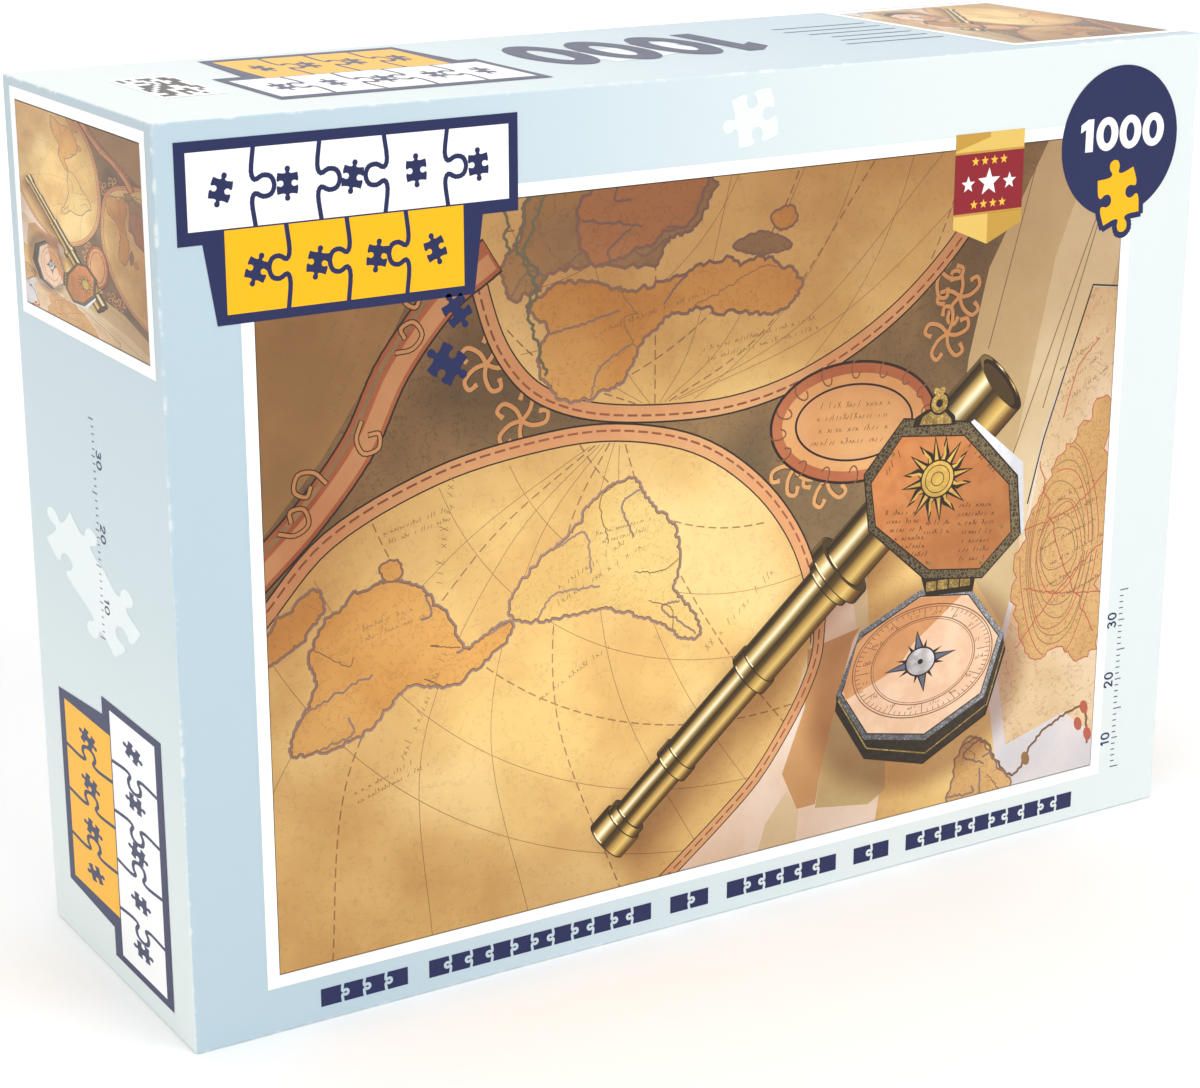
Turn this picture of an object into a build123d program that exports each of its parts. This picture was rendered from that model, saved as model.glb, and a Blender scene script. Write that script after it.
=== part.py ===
from build123d import *

import math
import os
import random

# Boxed jigsaw puzzle: a rigid two-piece box, a lid that slips over the whole
# depth of a tray, with a sealed bag of loose puzzle pieces inside.
#
# The box stands upright on one long narrow side. The origin is the middle of
# that side, on the surface it stands on. +Z is up, X runs along the wide
# picture face, and the picture face looks towards -Y. Millimetres.

# ---- driving dimensions ------------------------------------------------
box_width = 320.0          # across the picture face
box_height = 235.0         # up the picture face
box_depth = 98.0           # front face of the lid to back face of the tray
edge_radius = 0.9          # outer edges, rounded by the folded board

board = 1.6                # greyboard of lid and tray
paper = 0.2                # laminated wrap paper
turn_in = 17.0             # wrap glued down inside the rim
stay_paper = 0.12          # kraft tape that holds each corner together
stay_leg = 18.0            # width of the tape on either side of a corner

slip_gap = 0.6             # lid over tray, on each side
rim_gap = 0.3              # tray rim to the inside of the lid panel
tray_proud = 1.0           # tray back stands behind the lid rim

puzzle_width = 680.0       # the finished puzzle
puzzle_height = 480.0
puzzle_board = 1.9         # thickness of a puzzle piece
columns = 40
rows = 25
tab_size = 0.1             # a quarter of the knob's height, as a share of its side
tab_jitter = 0.035         # how far a knob wanders, as a share of its side

film = 0.15                # bag film
seal_width = 8.0           # crimped seal on either end of the bag
seal_thickness = 0.4
bag_edge_radius = 13.0
bag_room = 0.4             # bag to the tray, where it lies against it
piece_room = 0.5           # loose pieces apart, and clear of the film
sway_room = 3.0            # how far a sheet of loose pieces may sit off the middle
side_room = 2.0            # bag seals to the tray walls
head_room = 30.0           # tray wall above the bag, at least
fewest_layers = 18         # sheets of loose pieces, one behind the other

# ---- derived sizes -----------------------------------------------------
front_y = -box_depth / 2
back_y = box_depth / 2
lid_depth = box_depth - tray_proud
lid_rim_y = front_y + lid_depth
wall = paper + board + paper
tray_width = box_width - 2 * (wall + slip_gap)
tray_height = box_height - 2 * (wall + slip_gap)
tray_rim_y = front_y + paper + board + rim_gap
tray_depth = back_y - tray_rim_y
tray_floor_y = back_y - paper - board
tray_low_z = (box_height - tray_height) / 2 + wall
tray_inner_width = tray_width - 2 * wall
tray_inner_height = tray_height - 2 * wall


def rim_plane(y, panel_side):
    """Plane of a rim. Its normal points to the panel: -1 is the front, 1 the back."""
    return Plane(origin=(0, y, box_height / 2), x_dir=(1, 0, 0), z_dir=(0, panel_side, 0))


def make_block(rim, width, height, depth, radius):
    """A closed block behind a rim, its corners and the edges of its panel rounded."""
    with BuildPart() as block:
        with BuildSketch(rim):
            RectangleRounded(width, height, radius)
        extrude(amount=depth)
        panel = block.faces().sort_by(Axis(rim.origin, rim.z_dir))[-1]
        fillet(panel.edges(), 0.8 * radius)
    return block.part


def make_board_block(rim, width, height, depth):
    """The space that the folded board takes up, with its hollow still filled."""
    return make_block(
        rim.offset(paper),
        width - 2 * paper,
        height - 2 * paper,
        depth - 2 * paper,
        edge_radius - paper,
    )


def make_wrap(rim, width, height, depth):
    """Printed paper: over the panel and the walls, round the rim, down inside."""
    hollow_width = width - 2 * (paper + board)
    hollow_height = height - 2 * (paper + board)
    with BuildPart() as wrap:
        add(make_block(rim, width, height, depth, edge_radius))
        add(make_board_block(rim, width, height, depth), mode=Mode.SUBTRACT)
        with BuildSketch(rim):
            Rectangle(hollow_width, hollow_height)
        extrude(amount=paper + turn_in)
        with BuildSketch(rim):
            Rectangle(hollow_width - 2 * paper, hollow_height - 2 * paper)
        extrude(amount=paper + turn_in, mode=Mode.SUBTRACT)
    return wrap.part


def make_stay(rim, width, height, depth, side_x, side_up):
    """Kraft tape bent round one corner of the board, pressed flush into it."""
    board_width = width - 2 * paper
    board_height = height - 2 * paper
    with BuildPart() as stay:
        with BuildSketch(rim.offset(paper)):
            RectangleRounded(board_width, board_height, edge_radius - paper)
            RectangleRounded(
                board_width - 2 * stay_paper,
                board_height - 2 * stay_paper,
                edge_radius - paper - stay_paper,
                mode=Mode.SUBTRACT,
            )
            with Locations((side_x * board_width / 2, side_up * board_height / 2)):
                Rectangle(2 * stay_leg, 2 * stay_leg, mode=Mode.INTERSECT)
        extrude(amount=depth - 2 * paper - board)
    return stay.part


def make_board(rim, width, height, depth, stays):
    """Greyboard, scored and folded up into a panel with four walls."""
    hollow_width = width - 2 * (paper + board)
    hollow_height = height - 2 * (paper + board)
    with BuildPart() as folded:
        add(make_board_block(rim, width, height, depth))
        with BuildSketch(rim.offset(paper)):
            Rectangle(hollow_width, hollow_height)
        extrude(amount=depth - 2 * paper - board, mode=Mode.SUBTRACT)
        for stay in stays:
            add(stay, mode=Mode.SUBTRACT)
    return folded.part


# ---- tray --------------------------------------------------------------
# The tray lies behind the lid panel and opens towards it.
tray_rim = rim_plane(tray_rim_y, 1)
corners = [(-1, -1), (1, -1), (1, 1), (-1, 1)]
tray_stays = [
    make_stay(tray_rim, tray_width, tray_height, tray_depth, side_x, side_up)
    for side_x, side_up in corners
]
tray_board = make_board(tray_rim, tray_width, tray_height, tray_depth, tray_stays)
tray_wrap = make_wrap(tray_rim, tray_width, tray_height, tray_depth)

# ---- lid ---------------------------------------------------------------
# The lid slips over the tray from the front and covers its whole depth.
lid_rim = rim_plane(lid_rim_y, -1)
lid_stays = [
    make_stay(lid_rim, box_width, box_height, lid_depth, side_x, side_up)
    for side_x, side_up in corners
]
lid_board = make_board(lid_rim, box_width, box_height, lid_depth, lid_stays)
lid_wrap = make_wrap(lid_rim, box_width, box_height, lid_depth)

# ---- puzzle ------------------------------------------------------------
# One cut through the whole picture gives every piece its four sides, so the
# loose pieces would really go together.
piece_width = puzzle_width / columns
piece_height = puzzle_height / rows
dice = random.Random(1000)


def cut_knob():
    """Control points of a knob: shares of its side, along it and out of it."""
    ease_in, shift, lean, skew, ease_out = (
        dice.uniform(-tab_jitter, tab_jitter) for _ in range(5)
    )
    way = dice.choice((-1, 1))
    middle = 0.5 + shift
    points = [
        (0, 0),
        (0.2, ease_in),
        (middle + skew, lean - tab_size),
        (middle - tab_size, lean + tab_size),
        (middle - 2 * tab_size - skew, lean + 3 * tab_size),
        (middle + 2 * tab_size - skew, lean + 3 * tab_size),
        (middle + tab_size, lean + tab_size),
        (middle + skew, lean - tab_size),
        (0.8, ease_out),
        (1, 0),
    ]
    return [(along, way * out) for along, out in points]


def cut_lines(lines, sides_per_line):
    """Knobs on every inner line of the cut. The two border lines are straight."""
    inner = range(1, lines)
    return {
        (line, side): cut_knob() if line in inner else None
        for line in range(lines + 1)
        for side in range(sides_per_line)
    }


level_cuts = cut_lines(rows, columns)
upright_cuts = cut_lines(columns, rows)


def draw_side(start, end, knob):
    """One side of a piece, inside a BuildLine block."""
    if knob is None:
        Line(start, end)
        return
    run = Vector(*end) - Vector(*start)
    out = run.rotate(Axis.Z, 90)
    points = [Vector(*start) + run * along + out * rise for along, rise in knob]
    for first in (0, 3, 6):
        Bezier(*points[first : first + 4])


def draw_piece(row, column):
    """Outline of one piece about its own centre, inside a BuildLine block."""
    left, right = -piece_width / 2, piece_width / 2
    low, high = -piece_height / 2, piece_height / 2
    draw_side((left, low), (right, low), level_cuts[row, column])
    draw_side((left, high), (right, high), level_cuts[row + 1, column])
    draw_side((left, low), (left, high), upright_cuts[column, row])
    draw_side((right, low), (right, high), upright_cuts[column + 1, row])


# The loose pieces lie in upright sheets, one behind the other, each turned its
# own way. The reach is from the middle of a piece to the tip of its longest knob.
knob_share = 2.5 * tab_size + tab_jitter
piece_reach = 1.01 * max(
    piece_width / 2 + knob_share * piece_height,
    piece_height / 2 + knob_share * piece_width,
)
place_pitch = 2 * piece_reach + piece_room
line_pitch = place_pitch * math.sin(math.radians(60))
layer_pitch = puzzle_board + piece_room

# As many places fit in a layer as the tray leaves room for, and there are as
# many layers as all the pieces need.
heap_edge = piece_reach + sway_room + piece_room
bag_margin = heap_edge + film + seal_width + side_room
pieces_across = math.floor((tray_inner_width - 2 * bag_margin) / place_pitch + 0.5)
free_height = tray_inner_height - bag_room - head_room - 2 * (heap_edge + film)
pieces_up = math.floor(free_height / line_pitch + 1)
heap_width = (pieces_across - 0.5) * place_pitch + 2 * heap_edge
heap_height = (pieces_up - 1) * line_pitch + 2 * heap_edge


def round_off(distance):
    """How far the bag's round edge closes in, at a distance behind its flat face."""
    short = max(0.0, bag_edge_radius - distance)
    return bag_edge_radius - math.sqrt(bag_edge_radius**2 - short**2)


def layer_places(layer, layers):
    """Middles of the pieces of one layer, staggered, clear of the round edges."""
    depth_in = layer * layer_pitch + piece_room
    depth_left = (layers - layer - 1) * layer_pitch + piece_room
    pull_in = round_off(min(depth_in, depth_left))
    widest = heap_width / 2 - heap_edge + sway_room - pull_in
    tallest = heap_height / 2 - heap_edge + sway_room - pull_in
    places = []
    for line in range(pieces_up):
        across_shift = 0.5 * ((line + layer) % 2)
        for place in range(pieces_across):
            x = (place - (pieces_across - 0.5) / 2 + across_shift) * place_pitch
            z = (line - (pieces_up - 1) / 2) * line_pitch
            if abs(x) <= widest and abs(z) <= tallest:
                places.append((layer, x, z))
    return places


def all_places(layers):
    return [place for layer in range(layers) for place in layer_places(layer, layers)]


layers = fewest_layers
while len(all_places(layers)) < rows * columns:
    layers += 1
heap_depth = layers * layer_pitch + piece_room

# ---- bag ---------------------------------------------------------------
# The bag stands on the tray's lower wall and leans on the tray's back.
bag_width = heap_width + 2 * film
bag_height = heap_height + 2 * film
bag_depth = heap_depth + 2 * film
bag_low_z = tray_low_z + bag_room
bag_middle_z = bag_low_z + bag_height / 2
bag_back_y = tray_floor_y - bag_room
bag_front_y = bag_back_y - bag_depth


def fill_pillow(width, height, depth, radius):
    """A closed cushion of film: flat front and back, round edges all about."""
    middle = Plane(
        origin=(0, (bag_front_y + bag_back_y) / 2, bag_middle_z),
        x_dir=(1, 0, 0),
        z_dir=(0, -1, 0),
    )
    with BuildPart() as pillow:
        with BuildSketch(middle):
            RectangleRounded(width, height, radius)
        extrude(amount=depth / 2, both=True)
        fillet(pillow.faces().group_by(Axis.Y)[0].edges(), 0.98 * radius)
        fillet(pillow.faces().group_by(Axis.Y)[-1].edges(), 0.98 * radius)
    return pillow.part


bag_outside = fill_pillow(bag_width, bag_height, bag_depth, bag_edge_radius)
bag_inside = fill_pillow(heap_width, heap_height, heap_depth, bag_edge_radius - film)
seal_height = bag_height - 2 * bag_edge_radius
with BuildPart() as puzzle_bag:
    add(bag_outside)
    with Locations((0, (bag_front_y + bag_back_y) / 2, bag_middle_z)):
        Box(bag_width + 2 * seal_width, seal_thickness, seal_height)
    add(bag_inside, mode=Mode.SUBTRACT)

# ---- loose pieces ------------------------------------------------------


def layer_sway(layer):
    """How far one layer sits off the middle, across and up."""
    nearest = min(layer, layers - layer - 1) * layer_pitch + piece_room
    sway = max(0.0, sway_room - round_off(nearest))
    return dice.uniform(-sway, sway), dice.uniform(-sway, sway)


sways = [layer_sway(layer) for layer in range(layers)]
taken = sorted(dice.sample(all_places(layers), rows * columns))
loose = [(row, column) for row in range(rows) for column in range(columns)]
dice.shuffle(loose)
loose_pieces = list(zip(taken, loose))


def piece_plane(layer, x, z):
    """Where one loose piece lies: turned its own way, printed side to front or back."""
    turn = dice.uniform(0, 2 * math.pi)
    side = dice.choice((-1, 1))
    sway_x, sway_z = sways[layer]
    y = bag_front_y + film + piece_room + layer * layer_pitch
    if side < 0:
        y += puzzle_board
    return Plane(
        origin=(x + sway_x, y, bag_middle_z + z + sway_z),
        x_dir=(math.cos(turn), 0, math.sin(turn)),
        z_dir=(0, side, 0),
    )


def make_layer(layer):
    """All pieces of one layer, as separate solids."""
    with BuildPart() as sheet:
        for (place_layer, x, z), (row, column) in loose_pieces:
            if place_layer == layer:
                with BuildSketch(piece_plane(layer, x, z)):
                    with BuildLine():
                        draw_piece(row, column)
                    make_face()
        extrude(amount=puzzle_board, clean=False)
    return sheet.part


puzzle_layers = [make_layer(layer) for layer in range(layers)]

# ---- hand over ---------------------------------------------------------
pieces = {
    "tray_board": tray_board,
    "tray_wrap": tray_wrap,
    "lid_board": lid_board,
    "lid_wrap": lid_wrap,
    "puzzle_bag": puzzle_bag.part,
}
for number, stay in enumerate(tray_stays, start=1):
    pieces[f"tray_corner_stay_{number}"] = stay
for number, stay in enumerate(lid_stays, start=1):
    pieces[f"lid_corner_stay_{number}"] = stay
for number, sheet in enumerate(puzzle_layers, start=1):
    pieces[f"puzzle_pieces_{number:02d}"] = sheet

os.makedirs("parts", exist_ok=True)
for name, piece in pieces.items():
    piece.label = name
    export_step(piece, f"parts/{name}.step")
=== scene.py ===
import math
import random

import bpy
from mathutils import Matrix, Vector, noise
from mathutils.geometry import delaunay_2d_cdt


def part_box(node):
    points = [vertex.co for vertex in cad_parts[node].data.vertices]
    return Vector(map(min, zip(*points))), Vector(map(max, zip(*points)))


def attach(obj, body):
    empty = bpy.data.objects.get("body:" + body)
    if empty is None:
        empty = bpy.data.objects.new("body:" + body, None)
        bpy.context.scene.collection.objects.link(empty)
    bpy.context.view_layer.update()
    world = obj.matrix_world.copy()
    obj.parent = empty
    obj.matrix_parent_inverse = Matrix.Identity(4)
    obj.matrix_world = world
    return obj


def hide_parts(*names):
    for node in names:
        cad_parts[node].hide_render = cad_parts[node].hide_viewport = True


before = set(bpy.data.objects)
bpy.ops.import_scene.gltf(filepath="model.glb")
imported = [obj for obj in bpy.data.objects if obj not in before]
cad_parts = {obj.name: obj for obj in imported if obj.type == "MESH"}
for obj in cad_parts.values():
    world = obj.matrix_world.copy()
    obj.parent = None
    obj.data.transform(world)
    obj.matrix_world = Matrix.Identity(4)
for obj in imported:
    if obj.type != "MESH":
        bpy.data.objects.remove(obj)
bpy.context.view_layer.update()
mm = 0.001
lidLow, lidHigh = (Vector(corner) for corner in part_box("lid_wrap"))
trayLow, trayHigh = (Vector(corner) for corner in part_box("tray_wrap"))
bagLow, bagHigh = (Vector(corner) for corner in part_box("puzzle_bag"))
boxWidth = (lidHigh.x - lidLow.x) / mm
boxHeight = (lidHigh.z - lidLow.z) / mm
lidDepth = (lidHigh.y - lidLow.y) / mm


# ---- shader helpers ----

def shade(red, green, blue):  # screen colour, 0 to 255, as the shader wants it
    def linear(part):
        part /= 255
        return part / 12.92 if part <= 0.04045 else ((part + 0.055) / 1.055) ** 2.4
    return (linear(red), linear(green), linear(blue), 1.0)


class Value:  # one shader socket, so that maths on it adds its Math nodes
    def __init__(self, finish, socket):
        self.finish, self.socket = finish, socket

    def maths(self, operation, *others):
        sockets = dict(enumerate(others))
        return self.finish.node("ShaderNodeMath", {"operation": operation}, sockets)

    def __add__(self, other):
        return self.maths("ADD", self, other)

    def __radd__(self, other):
        return self.maths("ADD", other, self)

    def __sub__(self, other):
        return self.maths("SUBTRACT", self, other)

    def __rsub__(self, other):
        return self.maths("SUBTRACT", other, self)

    def __mul__(self, other):
        return self.maths("MULTIPLY", self, other)

    def __rmul__(self, other):
        return self.maths("MULTIPLY", other, self)

    def __truediv__(self, other):
        return self.maths("DIVIDE", self, other)

    def __pow__(self, other):
        return self.maths("POWER", self, other)

    def __neg__(self):
        return self.maths("MULTIPLY", self, -1.0)

    def __abs__(self):
        return self.maths("ABSOLUTE", self)

    def fraction(self):
        return self.maths("FRACT", self)

    def capped(self):  # never more than 1
        return self.maths("MINIMUM", self, 1.0)

    def above(self, edge):
        return self.maths("GREATER_THAN", self, edge)

    def below(self, edge):
        return self.maths("LESS_THAN", self, edge)


class Finish:  # one material and its node tree
    def __init__(self, name):
        self.material = bpy.data.materials.new(name)
        self.material.use_nodes = True
        self.tree = self.material.node_tree
        self.tree.nodes.clear()

    def node(self, kind, settings=None, sockets=None, out=0):
        made = self.tree.nodes.new(kind)
        for key, setting in (settings or {}).items():
            if key == "stops":
                ramp = made.color_ramp
                while len(ramp.elements) < len(setting):
                    ramp.elements.new(0.5)
                for element, (place, colour) in zip(ramp.elements, setting):
                    element.position = place
                    element.color = colour
            else:
                setattr(made, key, setting)
        for key, value in (sockets or {}).items():
            if isinstance(value, Value):
                self.tree.links.new(value.socket, made.inputs[key])
            else:
                made.inputs[key].default_value = value
        return Value(self, made.outputs[out])

    def ease(self, value, low, high):  # smooth step from 0 at low to 1 at high
        return self.node("ShaderNodeMapRange", {"interpolation_type": "SMOOTHSTEP"},
                         {"Value": value, "From Min": low, "From Max": high})

    def mix(self, factor, first, second, way="MIX"):
        return self.node("ShaderNodeMix", {"data_type": "RGBA", "blend_type": way},
                         {0: factor, 6: first, 7: second}, 2)

    def ramp(self, factor, stops):
        return self.node("ShaderNodeValToRGB", {"stops": stops}, {"Fac": factor})

    def noise(self, vector, scale, detail=4.0, rough=0.55, warp=0.0):
        return self.node("ShaderNodeTexNoise", None, {
            "Vector": vector, "Scale": scale, "Detail": detail, "Roughness": rough, "Distortion": warp})

    def dim(self, colour, factor):  # colour made darker or lighter by a value
        colour = colour[:3] if isinstance(colour, tuple) else colour
        return self.node("ShaderNodeVectorMath", {"operation": "SCALE"}, {0: colour, "Scale": factor})

    def place(self):  # object coordinates, in metres
        return self.node("ShaderNodeTexCoord", None, None, "Object")

    def parts(self, vector):
        split = self.node("ShaderNodeSeparateXYZ", None, {0: vector})
        outs = split.socket.node.outputs
        return [Value(self, outs[axis]) for axis in "XYZ"]

    def bump(self, height, strength, distance):
        return self.node("ShaderNodeBump", None,
                         {"Height": height, "Strength": strength, "Distance": distance})

    def surface(self, sockets):
        shader = self.node("ShaderNodeBsdfPrincipled", None, sockets)
        output = self.tree.nodes.new("ShaderNodeOutputMaterial")
        self.tree.links.new(shader.socket, output.inputs["Surface"])
        return self.material


# ---- finishes of the box and its contents ----

def paperGround():  # the pale blue printed ground, which runs on over every face of the lid
    finish = Finish("printedGround")
    x, y, z = finish.parts(finish.place())
    normalX, normalY, normalZ = finish.parts(finish.node("ShaderNodeNewGeometry", None, None, "Normal"))
    across = finish.ease(x, lidLow.x + 0.01, lidHigh.x - 0.07)
    up = finish.ease(z, lidLow.z, lidHigh.z)
    # Each face gets its own gradient, picked by which way the surface faces: bluer at the left on the front and back,
    # bluer at the top on the ends, bluer at the right on the top and bottom.
    front = finish.ramp(across, [(0, shade(182, 203, 214)), (0.45, shade(203, 218, 225)),
                                 (1, shade(223, 232, 231))])
    side = finish.ramp(up, [(0, shade(224, 233, 231)), (0.45, shade(205, 219, 222)),
                            (0.8, shade(196, 212, 219)), (1, shade(181, 198, 205))])
    top = finish.ramp(across, [(0, shade(224, 232, 230)), (0.5, shade(208, 221, 225)),
                               (1, shade(193, 209, 217))])
    colour = finish.mix(finish.ease(abs(normalX), 0.45, 0.85), front, side)
    colour = finish.mix(finish.ease(abs(normalZ), 0.45, 0.85), colour, top)
    fibre = finish.noise(finish.place(), 900, 3)
    cloud = finish.noise(finish.place(), 14, 2)
    colour = finish.dim(colour, 0.985 + 0.02 * fibre + 0.012 * cloud)
    fold = finish.ease(abs(x), lidHigh.x - 0.0012, lidHigh.x - 0.0002)
    foldFront = finish.ease(-y, -lidLow.y - 0.0012, -lidLow.y - 0.0002)
    foldUp = finish.ease(abs(z - boxHeight * mm / 2), boxHeight * mm / 2 - 0.0012, boxHeight * mm / 2 - 0.0002)
    edges = fold * foldFront + fold * foldUp + foldFront * foldUp
    scuff = finish.ease(finish.noise(finish.place(), 260, 5), 0.5, 0.68) * edges.capped()
    colour = finish.mix(0.55 * scuff, colour, shade(244, 244, 240))
    height = 0.6 * finish.noise(finish.place(), 2600, 2) + 0.4 * finish.noise(finish.place(), 60, 2)
    return finish.surface({
        "Base Color": colour, "Roughness": 0.32 + 0.12 * fibre, "Specular IOR Level": 0.3,
        "Normal": finish.bump(height, 0.12, 0.0002)})


def plainBoard(name, base, fleck, flecks, rough):  # greyboard, kraft tape, white liner paper
    finish = Finish(name)
    fibre = finish.noise(finish.place(), 1500, 4)
    specks = finish.ease(finish.noise(finish.place(), 700, 2), 0.6, 0.68)
    colour = finish.mix(flecks * specks, base, fleck)
    colour = finish.dim(colour, 0.93 + 0.12 * fibre)
    return finish.surface({
        "Base Color": colour, "Roughness": rough + 0.1 * fibre,
        "Normal": finish.bump(fibre, 0.25, 0.0001)})


def looseBoard():  # printed side, bare back and pressed edge of the puzzle pieces
    finish = Finish("puzzleBoard")
    chance = finish.node("ShaderNodeNewGeometry", None, None, "Random Per Island")
    normalY = finish.parts(finish.node("ShaderNodeNewGeometry", None, None, "Normal"))[1]
    facing = normalY * (1 - 2 * chance.above(0.36))
    printed = facing.above(0.6)
    bare = facing.below(-0.6)
    spread = finish.node("ShaderNodeVectorMath", {"operation": "ADD"},
                         {0: finish.place(), 1: finish.node("ShaderNodeCombineXYZ", None, {
                             "X": 7 * chance, "Y": 3 * chance, "Z": 5 * chance})})
    field = finish.noise(spread, 26, 3)
    ground = finish.ramp(chance * 0.55 + field * 0.6, [
        (0.1, shade(120, 88, 56)), (0.3, shade(188, 142, 88)), (0.45, shade(222, 186, 126)),
        (0.62, shade(230, 200, 146)), (0.78, shade(206, 140, 84)), (0.95, shade(150, 100, 60))])
    coast = finish.ease(abs(field - 0.5), 0.02, 0.006)
    ground = finish.mix(0.75 * coast, ground, shade(104, 84, 84))
    lines = finish.node("ShaderNodeTexWave", {"wave_type": "RINGS"},
                        {"Vector": spread, "Scale": 34.0, "Distortion": 2.0, "Detail": 1.0})
    ground = finish.mix(0.35 * finish.ease(lines, 0.93, 0.99), ground, shade(120, 84, 52))
    fibre = finish.noise(finish.place(), 1400, 3)
    colour = finish.mix(bare, shade(168, 160, 148), shade(126, 140, 156))
    colour = finish.mix(printed, colour, ground)
    colour = finish.dim(colour, 0.92 + 0.14 * fibre)
    return finish.surface({
        "Base Color": colour, "Roughness": 0.62 - 0.22 * printed,
        "Normal": finish.bump(fibre, 0.2, 0.0001)})


def clearFilm():
    finish = Finish("clearFilm")
    crease = finish.noise(finish.place(), 38, 5, 0.6, 1.2)
    fine = finish.noise(finish.place(), 170, 3)
    veil = 0.1 + 0.22 * finish.ease(crease, 0.46, 0.66)
    return finish.surface({
        "Base Color": shade(238, 242, 245), "Roughness": 0.08 + 0.1 * fine, "Alpha": veil,
        "Coat Weight": 1.0, "Coat Roughness": 0.05, "Specular IOR Level": 0.8,
        "Normal": finish.bump(crease + 0.2 * fine, 0.55, 0.003)})


def paint(node, material):  # a CAD piece keeps its shape and gets a better surface
    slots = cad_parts[node].material_slots
    for slot in slots:
        slot.link = "OBJECT"
        slot.material = material


# ---- drawing helpers: outlines in millimetres on the flat print ----

def smoothLoop(points, steps=6):  # closed smooth curve through a few points
    count, loop = len(points), []
    for index in range(count):
        before, here, after, beyond = (Vector(points[(index + step) % count]) for step in (-1, 0, 1, 2))
        for step in range(steps):
            t = step / steps
            loop.append(tuple(0.5 * (2 * here + (after - before) * t
                                     + (2 * before - 5 * here + 4 * after - beyond) * t * t
                                     + (3 * here - before - 3 * after + beyond) * t ** 3)))
    return loop


def smoothRun(points, steps=6):  # open smooth curve
    ends = [Vector(points[0]) * 2 - Vector(points[1])] + [Vector(p) for p in points]
    ends.append(Vector(points[-1]) * 2 - Vector(points[-2]))
    run = []
    for index in range(1, len(ends) - 2):
        before, here, after, beyond = ends[index - 1:index + 3]
        for step in range(steps):
            t = step / steps
            run.append(tuple(0.5 * (2 * here + (after - before) * t
                                    + (2 * before - 5 * here + 4 * after - beyond) * t * t
                                    + (3 * here - before - 3 * after + beyond) * t ** 3)))
    run.append(tuple(points[-1]))
    return run


def ellipse(middle, wide, tall, count=64, turn=0.0):
    loop = []
    for index in range(count):
        angle = 2 * math.pi * index / count
        x, y = wide * math.cos(angle), tall * math.sin(angle)
        loop.append((middle[0] + x * math.cos(turn) - y * math.sin(turn),
                     middle[1] + x * math.sin(turn) + y * math.cos(turn)))
    return loop


def rectangle(left, low, right, high):
    return [(left, low), (right, low), (right, high), (left, high)]


def turned(points, middle, angle=0.0, size=1.0):
    c, s = math.cos(angle) * size, math.sin(angle) * size
    return [(middle[0] + x * c - y * s, middle[1] + x * s + y * c) for x, y in points]


def area(loop):
    return 0.5 * sum(a[0] * b[1] - b[0] * a[1] for a, b in zip(loop, loop[1:] + loop[:1]))


def inset(loop, distance):  # every point moved in along the outline's normal
    way = 1 if area(loop) > 0 else -1
    moved = []
    for before, here, after in zip(loop[-1:] + loop[:-1], loop, loop[1:] + loop[:1]):
        run = (Vector(after) - Vector(before)).normalized()
        moved.append((here[0] - run.y * distance * way, here[1] + run.x * distance * way))
    return moved


def roughened(loop, amount, dice):  # a coast: each side of the outline broken up
    rough = []
    for start, end in zip(loop, loop[1:] + loop[:1]):
        start, end = Vector(start), Vector(end)
        side = end - start
        rough.append(tuple(start))
        bulge = Vector((-side.y, side.x)) * dice.uniform(-amount, amount)
        rough.append(tuple(start + side * dice.uniform(0.35, 0.65) + bulge))
    return rough


def offsetRun(points, distance):  # an open curve moved to the left of its way
    moved = []
    for index, here in enumerate(points):
        before, after = points[max(0, index - 1)], points[min(len(points) - 1, index + 1)]
        run = (Vector(after) - Vector(before)).normalized()
        moved.append((here[0] - run.y * distance, here[1] + run.x * distance))
    return moved


def roughRun(points, amount, dice):  # the same for an open line, twice over
    for _ in range(2):
        points = roughened(points, amount, dice)[:-1]
    return points


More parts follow.
